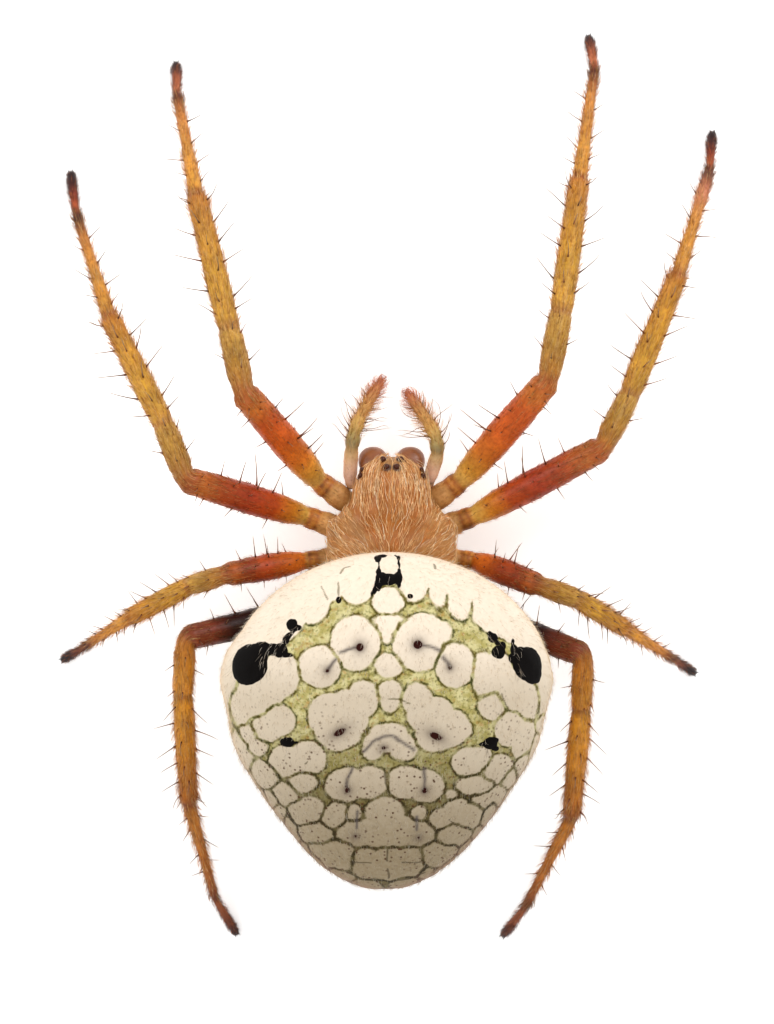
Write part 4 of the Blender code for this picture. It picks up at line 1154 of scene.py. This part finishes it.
# stations from below: x, y, z, half-width, half-depth
LIP = ((0, 0.02, 1.29, 0.12, 0.09), (0, 0.02, 1.37, 0.24, 0.19), (0, 0.04, 1.60, 0.27, 0.23),
       (0, 0.04, 2.40, 0.25, 0.21))
MAXILLA = ((0.56, -0.02, 1.21, 0.11, 0.16), (0.60, -0.01, 1.31, 0.23, 0.30), (0.63, 0.0, 1.60, 0.26, 0.33),
           (0.66, 0.02, 2.40, 0.23, 0.29))
HEART_MIDDLE, HEART_HALF_LENGTH, HEART_HALF_WIDTH = 1.72, 1.36, 1.18
# height and share of the full outline, from the middle of the breastplate's face up to its edge
HEART_LEVELS = ((1.49, 0.12), (1.50, 0.45), (1.515, 0.72), (1.56, 0.90), (1.64, 0.97), (1.78, 0.99),
                (1.95, 0.97))
WALL_FRONT, WALL_REAR = -0.55, 3.75


def heart(turn):
    """The breastplate's outline at angles round its middle."""
    y = HEART_HALF_LENGTH * np.sin(turn)
    x = HEART_HALF_WIDTH * np.cos(turn) * (1 - 0.40 * soft_step(y + HEART_MIDDLE, 1.2, 3.2))
    return x, y


mouth_shell = shell_finish("mouth_shell", 0.42, wear=0.35)
grid = upright_grid(LIP, 50, 40)
pale_edge = 1 - soft_step(grid[..., 2], 1.28, 1.42)
skin("lip", grid, mouth_shell, ["labium"], "mouth_shell",
     pigment=tinted(plain_pigment(grid, tone(88, 54, 34)), pale_edge[..., None], tone(210, 180, 140)))
for side, sign in SIDES:
    grid = upright_grid(MAXILLA, 60, 44) * (sign, 1, 1)
    inner = soft_step(-sign * grid[..., 0], -0.55, -0.38) * (1 - soft_step(grid[..., 2], 1.3, 1.6))
    skin(f"maxilla_lobe_{side}", grid, mouth_shell, [f"maxilla_{side}"], "mouth_shell",
         pigment=tinted(plain_pigment(grid, tone(112, 70, 42)), inner[..., None], tone(214, 184, 142)))

turn = turns(144)[None, :]
heart_x, heart_y = heart(turn)
levels = flowing(HEART_LEVELS, 60)
bumps = 0.03 * np.cos(9 * turn)
size = levels[:, 1:] * (1 + bumps * (levels[:, :1] < 1.8))
grid = np.stack((size * heart_x, HEART_MIDDLE + size * heart_y, levels[:, :1] + 0 * size), axis=-1)
pale_stripe = 0.35 * np.exp(-(grid[..., 0] / 0.22) ** 2)
pigment = plain_pigment(grid, tone(70, 46, 30), 0.25, 41, 0.2)
skin("breastplate", grid, shell_finish("sternum_shell", 0.4, wear=0.35), ["sternum"], "sternum_shell",
     pigment=tinted(pigment, pale_stripe[..., None], tone(150, 112, 62)))

# the side wall runs from under the carapace's rim in to the breastplate
wall_y = WALL_FRONT + (WALL_REAR - WALL_FRONT) * (1 - np.cos(np.linspace(0, math.pi, 80))) / 2
wall_half = 0.90 * carapace_half_width(wall_y)
outer = np.stack((np.append(wall_half, -wall_half[::-1]), np.append(wall_y, wall_y[::-1]),
                  np.full(2 * len(wall_y), PLATE_TOP + 0.04)), axis=-1)
inner_x, inner_y = heart(np.arctan2((outer[:, 1] - 1.6) / 2.2, outer[:, 0] / 1.7))
inner = np.stack((0.9 * inner_x, HEART_MIDDLE + 0.9 * inner_y, 0 * inner_x + 1.72), axis=-1)
share = np.linspace(0, 1, 40)[:, None, None]
grid = outer * (1 - share) + inner * share
grid[..., 0] *= 1 - 0.10 * np.sin(share[..., 0] * math.pi)
grid = grid + (0.025 * ripple(grid * (1, 1, 2.5), 0.2, 42))[..., None] * grid_normals(grid)
skin("side_wall", grid, shell_finish("wall_skin", 0.55, wear=0.3), ["sternum"], "sternum_shell",
     pigment=plain_pigment(grid, tone(176, 148, 112), 0.15, 43, 0.25))

# ---- The legs' skins -----------------------------------------------------------------------
# Each leg is a chain of horny tubes: coxa, trochanter, femur, patella, tibia, metatarsus and
# tarsus.  A ring of soft skin joins each to the next, where the leg is a little thinner.
# lengths of femur, patella, tibia and metatarsus, then of the tarsi of legs 1 to 4
LEG_LENGTHS = {1: (4.90, 2.30, 4.70, 3.90), 2: (4.95, 2.05, 4.20, 3.90),
               3: (2.85, 1.42, 2.25, 2.00), 4: (4.80, 1.90, 3.75, 3.45)}
TARSI = {"left": (1.32, 1.64, 1.30, 1.55), "right": (1.32, 1.52, 1.30, 1.55)}
LEG_STOUTNESS = {1: 1.0, 2: 0.97, 3: 0.86, 4: 0.90}
COXA_ROOTS = {1: (1.05, 0.62, 1.90), 2: (1.25, 1.34, 1.90), 3: (1.22, 2.12, 1.88), 4: (0.95, 2.80, 1.88)}
HIPS = {1: (2.32, -0.35, 2.00), 2: (2.74, 0.80, 1.95), 3: (2.75, 2.25, 1.90), 4: (2.30, 3.75, 1.90)}
FOOT_HEIGHT = 0.10
SOLE_HEIGHT = 0.004
# headings outwards from straight ahead, and pitches above the level, in degrees
LEG_POSES = {
    (1, "left"): ((40, 13, 14, 11, 2), (42, -25, -17, -31)),
    (1, "right"): ((41, 11, 8, 8, -10), (31, -13, -21, -22)),
    (2, "left"): ((73, 22, 27, 18, 8), (37, -22, -20, -26)),
    (2, "right"): ((62, 27, 22, 17, 4), (20, -18, -5, -25)),
    (3, "left"): ((100, 107, 118, 123, 121), (26, -31, -7, -36)),
    (3, "right"): ((111, 109, 122, 122, 124), (40, -21, -32, -30)),
    (4, "left"): ((103, 177, 183, 195, 211), (25, -13, -21, -23)),
    (4, "right"): ((111, 182, 185, 207, 217), (29, -22, -20, -20)),
}
# how thick each piece of a leg is: share of its length from the body's end, radius
LEG_PROFILES = (
    ((0.0, 0.24), (0.10, 0.31), (0.34, 0.41), (0.58, 0.42), (0.70, 0.36), (0.82, 0.40), (1.0, 0.34)),
    ((0.0, 0.34), (0.05, 0.39), (0.18, 0.47), (0.45, 0.52), (0.74, 0.49), (0.90, 0.46), (0.985, 0.46),
     (1.0, 0.40)),
    ((0.0, 0.32), (0.10, 0.35), (0.30, 0.40), (0.60, 0.40), (0.90, 0.38), (1.0, 0.34)),
    ((0.0, 0.33), (0.06, 0.37), (0.28, 0.39), (0.60, 0.36), (0.85, 0.34), (0.97, 0.35), (1.0, 0.28)),
    ((0.0, 0.22), (0.06, 0.25), (0.20, 0.235), (0.45, 0.19), (0.80, 0.165), (0.95, 0.175), (1.0, 0.15)),
    ((0.0, 0.125), (0.15, 0.13), (0.45, 0.155), (0.72, 0.172), (0.88, 0.155), (1.0, 0.11)),
)
LEG_COAT = 0.02                 # depth of the coat, by which legs and palps are drawn in
LEG_PACE = 0.06                 # distance between two rings of the skin
PINCH_REACH = 0.07              # how far from a joint the leg is thinner
SWELLING = 0.36                 # of the right second metatarsus, as a share of its width
LEG_COLUMNS = 36

# pigments along a leg: place, counted in pieces from the coxa's root, and colour
OUTER_PIECES = (
    (2.0, 168, 92, 40), (2.12, 166, 110, 38), (2.5, 174, 128, 46), (2.9, 196, 150, 66),
    (2.99, 180, 122, 60), (3.06, 200, 148, 54), (3.3, 206, 154, 50), (3.7, 204, 145, 48),
    (3.93, 202, 134, 48), (3.99, 166, 94, 40), (4.06, 216, 152, 58), (4.4, 214, 148, 62),
    (4.75, 212, 140, 68),
)
COXA_PIGMENTS = (
    (0.0, 180, 122, 64), (0.30, 188, 134, 74), (0.56, 198, 148, 88), (0.66, 192, 138, 74),
    (0.73, 176, 106, 46), (0.80, 204, 136, 58), (0.88, 172, 100, 42), (0.97, 200, 140, 62),
)
LEG_PIGMENTS = {
    1: ((1.03, 224, 184, 98), (1.14, 220, 160, 62), (1.30, 208, 116, 38), (1.52, 202, 92, 26),
        (1.75, 192, 84, 26), (1.90, 198, 110, 38), (1.97, 176, 92, 34)) + OUTER_PIECES
       + ((4.86, 176, 106, 58), (4.95, 96, 52, 36), (5.03, 160, 88, 56), (5.15, 198, 116, 76),
          (5.45, 176, 98, 66), (5.65, 110, 60, 46), (5.85, 62, 36, 34), (6.0, 40, 26, 26)),
    2: ((1.03, 218, 176, 84), (1.14, 214, 136, 42), (1.30, 180, 74, 24), (1.52, 160, 56, 24),
        (1.75, 166, 72, 28), (1.90, 186, 102, 40), (1.97, 160, 80, 32)) + OUTER_PIECES
       + ((4.84, 150, 88, 52), (4.93, 74, 46, 38), (5.0, 120, 62, 42), (5.12, 178, 86, 48),
          (5.35, 150, 64, 40), (5.6, 86, 40, 32), (5.85, 52, 30, 30), (6.0, 38, 24, 26)),
    3: ((1.03, 214, 120, 38), (1.20, 208, 106, 30), (1.50, 170, 70, 26), (1.78, 140, 58, 26),
        (1.92, 170, 88, 36), (1.98, 140, 72, 32)) + OUTER_PIECES
       + ((4.86, 150, 88, 56), (4.97, 90, 54, 42), (5.12, 142, 80, 56), (5.35, 110, 62, 48),
          (5.6, 52, 34, 32), (5.8, 40, 28, 30), (6.0, 34, 24, 26)),
    4: ((1.03, 90, 38, 22), (1.20, 44, 15, 11), (1.50, 36, 10, 8), (1.68, 46, 15, 9),
        (1.84, 112, 46, 24), (1.98, 122, 56, 28), (2.06, 178, 110, 34), (2.6, 192, 128, 36),
        (2.92, 194, 130, 42), (2.99, 140, 84, 30), (3.06, 204, 140, 38), (3.5, 202, 134, 36),
        (3.85, 180, 108, 30), (3.99, 130, 72, 26), (4.08, 194, 122, 40), (4.6, 186, 112, 42),
        (4.88, 150, 84, 42), (4.97, 100, 54, 34), (5.1, 166, 92, 52), (5.5, 140, 76, 46),
        (5.8, 76, 42, 34), (6.0, 38, 26, 26)),
}


def towards(heading, pitch, sign):
    """Unit direction from a heading, counted outwards from straight ahead, and a pitch."""
    level = math.cos(pitch)
    return np.array((sign * math.sin(heading) * level, -math.cos(heading) * level, math.sin(pitch)))


def leg_joints(number, side, sign):
    """Centres of the leg's joints, from the coxa's root to the tip of the foot."""
    headings, pitches = LEG_POSES[number, side]
    joints = [np.multiply(spot, (sign, 1, 1)) for spot in (COXA_ROOTS[number], HIPS[number])]
    for length, heading, pitch in zip(LEG_LENGTHS[number], headings, pitches):
        joints.append(joints[-1] + length * towards(math.radians(heading), math.radians(pitch), sign))
    length = TARSI[side][number - 1]
    pitch = math.asin((FOOT_HEIGHT - joints[-1][2]) / length)
    joints.append(joints[-1] + length * towards(math.radians(headings[-1]), pitch, sign))
    return np.array(joints)


def rounded_way(joints, bend, pace):
    """A path along the joints with its corners rounded, and each point's place counted in pieces."""
    def cut(length):
        return min(bend, 0.4 * length)

    spots, places = [joints[0]], [0.0]
    for number, (start, end) in enumerate(zip(joints, joints[1:])):
        length = np.linalg.norm(end - start)
        ahead = (end - start) / length
        last = number == len(joints) - 2
        near = 0.0 if number == 0 else cut(length)
        far = length if last else length - cut(length)
        for reach in np.linspace(near, far, max(3, int((far - near) / pace))):
            spots.append(start + ahead * reach)
            places.append(number + reach / length)
        if last:
            break
        following = joints[number + 2] - end
        next_length = np.linalg.norm(following)
        leave = end + following / next_length * cut(next_length)
        for t in np.linspace(0, 1, max(4, int(1.6 * bend / pace)))[1:-1]:
            enter = start + ahead * far
            spots.append((1 - t) ** 2 * enter + 2 * t * (1 - t) * end + t * t * leave)
            back, front = 1 - far / length, cut(next_length) / next_length
            places.append(number + 1 - back * (1 - 2 * t) if t < 0.5 else number + 1 + front * (2 * t - 1))
    return np.array(spots[1:]), np.array(places[1:])


def along_pieces(places, table):
    """Values at places along a limb, from a table of place and value."""
    keys = np.array([key for key, _ in table])
    values = np.array([np.atleast_1d(value) for _, value in table], float)
    return np.stack([np.interp(places, keys, column) for column in values.T], axis=-1)


def softened(values, passes):
    """Values along a limb with their corners rounded off."""
    for _ in range(passes):
        padded = np.concatenate((values[:1], values, values[-1:]))
        values = (padded[:-2] + 2 * padded[1:-1] + padded[2:]) / 4
    return values


def limb(joints, profiles, stoutness, coat, columns, bend=0.17, pinch=0.10):
    """The skin of a jointed limb: its grid, and the place of each row counted in pieces."""
    centres, places = rounded_way(joints, bend, LEG_PACE)
    table = []
    for number, profile in enumerate(profiles):
        for share, radius in profile:
            table.append((number + 0.002 + 0.996 * share, radius * stoutness))
    radii = softened(along_pieces(places, table)[:, 0], 2)
    lengths = np.linalg.norm(np.diff(joints, axis=0), axis=1)
    for joint in range(1, len(profiles)):
        gap = (places - joint) * np.where(places < joint, lengths[joint - 1], lengths[joint])
        radii = radii * (1 - pinch * np.exp(-(gap / PINCH_REACH) ** 2))
    # the blunt end of the last piece rounds off
    left = (len(profiles) - places) * lengths[-1]
    radii = radii * np.sqrt(np.clip(1 - (1 - np.clip(left / (1.2 * radii), 0, 1)) ** 2, 0.02, 1))
    return sweep(softened(centres, 2), radii - coat * np.clip(radii / 0.2, 0, 1), columns), places


def limb_pigment(grid, places, table, seed):
    """A limb's colours along its length, with soft blotches and darker wrinkles near the body."""
    shades = along_pieces(places, [(place, tone(*colour)) for place, *colour in table])[:, None]
    change = 1 + 0.16 * ripple(grid, 0.5, seed) + 0.10 * ripple(grid, 0.13, seed + 20)
    wrinkled = np.exp(-((places - 0.82) / 0.16) ** 4)[:, None]
    change = change * (1 - 0.65 * wrinkled * soft_step(ripple(grid, 0.20, seed + 40), -0.1, 0.8))
    return shades * change[..., None]


leg_shell = shell_finish("leg_shell", 0.36, gloss=0.25, wear=0.5, size=0.10)
legs = {}
for number in (1, 2, 3, 4):
    for side, sign in SIDES:
        leg = f"leg_{number}_{side}"
        slot = "front_femur_shell" if number < 3 else "rear_femur_shell"
        joints = leg_joints(number, side, sign)
        grid, places = limb(joints, LEG_PROFILES, LEG_STOUTNESS[number], LEG_COAT, LEG_COLUMNS)
        grid[..., 2] = np.maximum(grid[..., 2], SOLE_HEIGHT)
        pigment = limb_pigment(grid, places, COXA_PIGMENTS + LEG_PIGMENTS[number], 50 + number)
        if leg == "leg_2_right":
            # this metatarsus is swollen and pink towards its end
            swollen = np.exp(-((places - 4.76) / 0.14) ** 2)[:, None, None]
            grid = grid + SWELLING * swollen * (grid - grid.mean(axis=1, keepdims=True))
            pigment = tinted(pigment, 0.75 * swollen, tone(222, 142, 112))
        legs[leg] = (number, slot, grid, places, pigment, joints)
        nodes = [f"{leg}_{part}" for part in ("coxa", "femur", "tibia", "tarsus")]
        skin(f"{leg}_skin", grid, leg_shell, nodes, slot, pigment=pigment)

# ---- The palps -----------------------------------------------------------------------------
# A pair of short feelers beside the jaws, jointed like a leg.  The femur is pale pinkish skin,
# the patella grey-green, the tibia yellow and the furry tarsus orange.
PALP_JOINTS = {
    "left": ((1.15, -0.14, 1.92), (1.28, -0.39, 2.08), (1.22, -1.36, 2.66), (1.14, -1.88, 2.70),
             (0.92, -2.44, 2.36), (0.22, -3.62, 1.30)),
    "right": ((1.15, -0.14, 1.92), (1.30, -0.39, 2.08), (1.55, -1.20, 2.62), (1.52, -1.68, 2.70),
              (1.24, -2.22, 2.36), (0.56, -3.18, 1.36)),
}
PALP_PROFILES = (
    ((0.0, 0.20), (0.45, 0.25), (1.0, 0.22)),
    ((0.0, 0.22), (0.12, 0.24), (0.55, 0.25), (0.90, 0.25), (1.0, 0.22)),
    ((0.0, 0.22), (0.25, 0.26), (0.75, 0.26), (1.0, 0.21)),
    ((0.0, 0.20), (0.25, 0.23), (0.80, 0.23), (1.0, 0.20)),
    ((0.0, 0.19), (0.12, 0.20), (0.40, 0.19), (0.70, 0.155), (0.90, 0.11), (1.0, 0.06)),
)
PALP_PIGMENTS = (
    (0.0, 200, 156, 110), (0.8, 214, 166, 132), (1.1, 244, 206, 182), (1.5, 242, 204, 172),
    (1.85, 216, 178, 126), (2.03, 176, 144, 92), (2.3, 140, 122, 80), (2.6, 152, 130, 74),
    (2.97, 176, 146, 72), (3.3, 208, 166, 84), (3.8, 212, 162, 82), (4.1, 210, 158, 82),
    (4.4, 214, 152, 84), (4.7, 212, 140, 84), (4.92, 186, 98, 64), (5.0, 110, 54, 40),
)
PALP_COLUMNS = 32
palps = {}
palp_shell = shell_finish("palp_shell", 0.42, wear=0.3, size=0.08)
for side, sign in SIDES:
    joints = np.array(PALP_JOINTS[side]) * (sign, 1, 1)
    grid, places = limb(joints, PALP_PROFILES, 1.0, LEG_COAT, PALP_COLUMNS, bend=0.14, pinch=0.12)
    pigment = limb_pigment(grid, places, PALP_PIGMENTS, 61)
    palps[side] = (grid, places, pigment)
    skin(f"palp_{side}_skin", grid, palp_shell, [f"palp_{side}"], "palp_shell", pigment=pigment)

# ---- The legs' hairs -----------------------------------------------------------------------
# Every leg has three kinds: golden hairs that lie along it, a rusty fringe that stands out to the
# sides of the outer pieces, and dense short dark hairs on the foot.
LEG_HAIRS = {1: 4000, 2: 4000, 3: 2500, 4: 3400}
GOLDEN, RUSTY, DUSKY = (255, 214, 134), (204, 120, 68), (70, 40, 34)
# how much of a hair's colour is its own, by place; the rest is the skin's where it grows
OWN_COLOUR = {1: ((1, 0.15), (1.6, 0.2), (1.9, 0.5), (2.2, 0.6), (6, 0.7)),
              2: ((1, 0.1), (1.6, 0.2), (2, 0.5), (6, 0.7)),
              3: ((1, 0.15), (1.8, 0.3), (2.1, 0.5), (6, 0.7)),
              4: ((1, 0.0), (1.7, 0.05), (2, 0.4), (6, 0.7))}


def limb_coat(name, grid, places, skin_pigment, own, count, rng, finish, kinds, radius=0.0066):
    """A limb's hairs; each kind has a density, a lift and a length by place, and its colours.

    The colours are mixed with the skin's own where each hair grows.
    """
    flow = np.gradient(grid, axis=0)
    share = np.array([kind["share"] for kind in kinds])
    parts, widths, spots, shades = [], [], [], []
    for kind, part in zip(kinds, (share / share.sum() * count).astype(int)):
        weight = along_pieces(places, kind["density"]) * kind["round"](turns(grid.shape[1])[None, :])
        row, column = scattered(grid, weight + 1e-9, part, rng)
        here = np.interp(row, np.arange(len(places)), places)
        length = along_pieces(here, kind["length"])[:, 0] * rng.uniform(0.75, 1.2, part)
        lift = np.radians(along_pieces(here, kind["lift"])[:, 0] * rng.uniform(0.7, 1.3, part))
        parts.append(laid(grid, flow, row, column, length, lift, kind["droop"],
                          rng.normal(0, kind["veer"], part), 3))
        inner, outer = (chosen(rng, part, *kind[where]) for where in ("inner", "outer"))
        tips = soft_step(here + rng.normal(0, 0.12, part), *kind["change"])[:, None]
        change = rng.choice((0.45, 0.8, 1.5), part)[:, None]
        shades.append(tinted(sampled(skin_pigment, row, column) * change, along_pieces(here, own),
                             tinted(inner, tips, outer)))
        spots.append(unwrapped(grid, row, column))
        widths.append(radius * rng.uniform(0.8, 1.2, part) * kind["thick"])
    hairs(name, np.concatenate(parts), np.concatenate(widths), np.concatenate(spots, axis=1),
          np.concatenate(shades), finish)


LYING = {"share": 0.46, "thick": 1.0, "droop": 0.10, "veer": 0.12, "change": (4.7, 5.3),
         "density": ((0, 0.2), (1, 0.3), (1.5, 0.6), (2, 1.5), (3, 1.6), (4, 1.2), (5, 1.4), (6, 1.6)),
         "length": ((0, 0.22), (1.2, 0.24), (2.2, 0.36), (3.5, 0.38), (4.5, 0.32), (5.5, 0.24), (6, 0.16)),
         "lift": ((0, 8), (4, 9), (5, 14), (6, 20)),
         "round": lambda turn: 1.0 + 0.3 * np.cos(turn),
         "inner": ((3, *GOLDEN), (1.5, 206, 140, 60), (1, 150, 84, 40)), "outer": ((1, *RUSTY), (2, *DUSKY))}
FRINGE = {"share": 0.30, "thick": 1.05, "droop": 0.08, "veer": 0.16, "change": (4.6, 5.2),
          "density": ((0, 0.05), (1, 0.10), (1.9, 0.15), (2.3, 0.4), (3.2, 0.8), (4.2, 1.5), (5, 2.0),
                      (6, 2.2)),
          "length": ((0, 0.20), (2.2, 0.26), (3.2, 0.34), (4.3, 0.38), (4.9, 0.34), (5.3, 0.24), (6, 0.12)),
          "lift": ((0, 28), (3, 31), (4.2, 32), (5.2, 32), (6, 36)),
          "round": lambda turn: 0.30 + np.abs(np.sin(turn)) ** 2,
          "inner": ((2, 238, 184, 124), (1, 212, 140, 90), (0.6, 130, 70, 44)),
          "outer": ((1, *RUSTY), (2.5, *DUSKY))}
DOWN = {"share": 0.15, "thick": 1.1, "droop": 0.05, "veer": 0.25, "change": (4.75, 4.95),
        "density": ((0, 0.4), (1, 0.7), (2, 0.4), (4, 0.5), (4.78, 0.8), (4.88, 4.0), (5, 3.0), (5.1, 1.0),
                    (5.4, 1.2), (5.6, 3), (6, 5)),
        "length": ((0, 0.14), (2, 0.16), (4, 0.20), (4.9, 0.24), (5.2, 0.16), (6, 0.10)),
        "lift": ((0, 38), (6, 42)),
        "round": lambda turn: 1.0 + 0 * turn,
        "inner": ((1, 255, 220, 170), (1, *RUSTY)), "outer": ((1, *DUSKY), (2, 44, 26, 22))}
# the legs' and palps' hairs glow a little: painted light
leg_hair = hair_finish("leg_hair", glow=0.12)
for leg, (number, slot, grid, places, pigment, _) in legs.items():
    rng = np.random.default_rng(200 + number * 2 + leg.endswith("left"))
    limb_coat(f"{leg}_hairs", grid, places, pigment, OWN_COLOUR[number], LEG_HAIRS[number], rng,
              leg_hair, (LYING, FRINGE, DOWN))

# ---- The legs' spines ----------------------------------------------------------------------
# Long tapering bristles stand out from the femora, patellae, tibiae and metatarsi, each on a
# swollen root.  They are stiff, brown at the root and pale and clear towards the tip.
# place counted in pieces, turn in degrees from the top towards the front, length
SPINES = (
    # along the top
    (1.14, 20, 0.30), (1.26, -6, 0.30), (1.52, 8, 0.34), (1.70, 24, 0.36), (1.86, 4, 0.32),
    (1.94, -25, 0.30), (2.30, 5, 0.30), (3.20, -4, 0.40), (3.62, 8, 0.40),
    # the femur
    (1.22, 100, 0.50), (1.32, 62, 0.95), (1.30, -70, 0.40), (1.44, 84, 1.00), (1.47, 50, 0.95),
    (1.60, 66, 1.05), (1.58, -82, 0.42), (1.76, 80, 0.55), (1.84, -78, 0.42), (1.93, 40, 0.30),
    (1.90, -60, 0.34),
    # the patella
    (2.45, 82, 0.55), (2.55, -84, 0.50), (2.90, 10, 0.35), (2.88, 70, 0.45),
    # the tibia
    (3.10, 62, 0.62), (3.12, -60, 0.66), (3.24, 84, 0.80), (3.30, -84, 0.82), (3.40, 12, 0.50),
    (3.45, 72, 0.80), (3.50, -74, 0.78), (3.62, 60, 0.78), (3.70, -84, 0.72), (3.76, 84, 0.72),
    (3.78, -20, 0.50), (3.92, 56, 0.52), (3.92, -60, 0.50), (3.96, 110, 0.40), (3.96, -110, 0.40),
    # the metatarsus
    (4.10, 66, 0.45), (4.16, -64, 0.42), (4.28, 84, 0.55), (4.36, -82, 0.55), (4.50, 70, 0.50),
    (4.62, -76, 0.40), (4.72, 84, 0.45))
SPINE_LENGTHS = {1: 1.0, 2: 1.0, 3: 0.68, 4: 0.80}
SPINE_SHAPE = (2.2, 1.5, 1.05, 0.95, 0.85, 0.72, 0.55)


def root_of(grid, places, place, turn):
    """Row and column of a grid at a place along a limb and a turn in degrees from its top."""
    row = np.interp(place, places, np.arange(len(places)))
    return np.array([row]), np.array([turn % 360 / 360 * grid.shape[1]])


spine_finish = hair_finish("leg_spine", 0.3, 0.4)
rng = np.random.default_rng(300)
paths, spots, widths = [], [], []
for leg, (number, _, grid, places, _, _) in legs.items():
    front = 1 if leg.endswith("left") else -1
    flow = np.gradient(grid, axis=0)
    for place, turn, length in SPINES:
        place = place + rng.uniform(-0.025, 0.025)
        row, column = root_of(grid, places, place, front * (turn + rng.uniform(-12, 12)))
        length = length * SPINE_LENGTHS[number] * rng.uniform(0.95, 1.22, 1) * (1.2 if place > 3 else 1.0)
        lift = np.radians(rng.uniform(62, 88, 1) if place < 2 else rng.uniform(46, 84, 1))
        paths.append(laid(grid, flow, row, column, length, lift, 0.06, rng.normal(0, 0.10, 1), 7))
        spots.append(unwrapped(grid, row, column))
        widths.append(0.0140 * (0.8 + 0.3 * length))
paths = np.concatenate(paths)
hairs("leg_spines", paths, np.concatenate(widths), np.concatenate(spots, axis=1),
      chosen(rng, len(paths), (1, 128, 64, 36), (1, 96, 48, 30)), spine_finish,
      shape=SPINE_SHAPE, sides=6, fade=tone(162, 142, 114))

# ---- The claws -----------------------------------------------------------------------------
# Each foot ends in two curved dark claws and a small hooked one between them, which grip the
# thread.  They are hard, smooth and nearly black.
CLAW_SHAPE = (1.0, 1.0, 0.92, 0.8, 0.66, 0.5, 0.32)
CLAW_FLOOR = 0.012
claw_paths = []
for _, _, grid, _, _, joints in legs.values():
    tip = grid[-2].mean(axis=0)
    ahead = joints[-1] - joints[-2]
    ahead[2] = 0
    ahead /= np.linalg.norm(ahead)
    beside = np.array((-ahead[1], ahead[0], 0))
    for spread, size in ((1, 1.0), (-1, 1.0), (0, 0.55)):
        t = np.linspace(0, 1, 8)[:, None]
        rise = 0.03 + size * (0.06 * np.sin(2.6 * t) - 0.12 * t * t)
        claw_paths.append(tip + ahead * size * (0.20 * t - 0.05) + beside * spread * (0.03 + 0.06 * t)
                          + rise * (0, 0, 1))
claw_paths = np.array(claw_paths)
claw_paths[..., 2] = np.maximum(claw_paths[..., 2], CLAW_FLOOR)
claw_finish = hair_finish("foot_claw", 0.2, 0.6)
rng = np.random.default_rng(310)
count = len(claw_paths)
hairs("foot_claws", claw_paths, 0.028, (rng.random(count), rng.random(count)),
      chosen(rng, count, (1, 40, 24, 20)), claw_finish, shape=CLAW_SHAPE, sides=8)

# ---- The palps' hairs ----------------------------------------------------------------------
# The palps' outer pieces are shaggy: rusty hairs lie along them, a fringe stands out on both
# sides, and the tip is a brush.  They grow from the skin, like the legs' hairs.
PALP_LYING = dict(LYING, share=0.45, change=(4.2, 4.9), thick=0.9, veer=0.2,
                  density=((0, 0.05), (1.0, 0.1), (2.0, 0.3), (3.0, 1.0), (4.0, 1.3), (5.0, 1.6)),
                  length=((0, 0.15), (2, 0.20), (3, 0.30), (4, 0.34), (5, 0.26)), lift=((0, 12), (5, 22)),
                  inner=((2, *GOLDEN), (1, 150, 100, 50), (1, 236, 160, 90)),
                  outer=((2, 236, 140, 84), (1, 150, 70, 44), (1, 255, 190, 130)))
PALP_SHAG = dict(FRINGE, share=0.50, change=(4.0, 4.7), thick=0.85, veer=0.2, droop=0.04,
                 density=((0, 0), (1.8, 0.02), (2.4, 0.10), (3.2, 0.6), (4.0, 1.3), (4.8, 2.6), (5.0, 4.0)),
                 length=((0, 0.2), (2.4, 0.38), (3.4, 0.52), (4.4, 0.50), (4.9, 0.42), (5, 0.34)),
                 lift=((0, 36), (3, 42), (4, 44), (5, 40)), round=lambda turn: 0.4 + np.abs(np.sin(turn)),
                 inner=((2, 228, 166, 100), (1, 180, 116, 72)),
                 outer=((2, 226, 134, 92), (1, 176, 84, 58)))
PALP_OWN = ((0, 0.3), (2.5, 0.6), (5, 0.75))
PALP_HAIRS = 1000
for side, (grid, places, pigment) in palps.items():
    rng = np.random.default_rng(320 + (side == "left"))
    limb_coat(f"palp_{side}_hairs", grid, places, pigment, PALP_OWN, PALP_HAIRS, rng,
              leg_hair, (PALP_LYING, PALP_SHAG))

# long thin bristles stand out from the palps on both sides
# place counted in pieces, turn in degrees from the top outwards, length
PALP_BRISTLES = (
    (2.60, 60, 0.55), (2.95, 70, 0.62), (3.20, 90, 0.60), (3.15, -70, 0.80), (3.35, -95, 0.85),
    (3.55, 75, 0.70), (3.60, -75, 0.75), (3.85, -90, 0.70), (3.90, 80, 0.72), (4.15, 70, 0.55),
    (4.20, -80, 0.60), (4.45, 80, 0.45), (4.50, -70, 0.50),
)
rng = np.random.default_rng(330)
paths, spots = [], []
for side, (grid, places, _) in palps.items():
    outer = -1 if side == "left" else 1
    flow = np.gradient(grid, axis=0)
    for place, turn, length in PALP_BRISTLES:
        row, column = root_of(grid, places, place, outer * (turn + rng.uniform(-10, 10)))
        length = length * rng.uniform(1.1, 1.45, 1)
        lift = np.radians(rng.uniform(50, 74, 1))
        paths.append(laid(grid, flow, row, column, length, lift, 0.04, rng.normal(0, 0.2, 1), 7))
        spots.append(unwrapped(grid, row, column))
hairs("palp_bristles", np.concatenate(paths), 0.0105, np.concatenate(spots, axis=1),
      chosen(rng, len(paths), (1, 110, 66, 44)), spine_finish, shape=SPINE_SHAPE, sides=5,
      fade=tone(176, 150, 120))
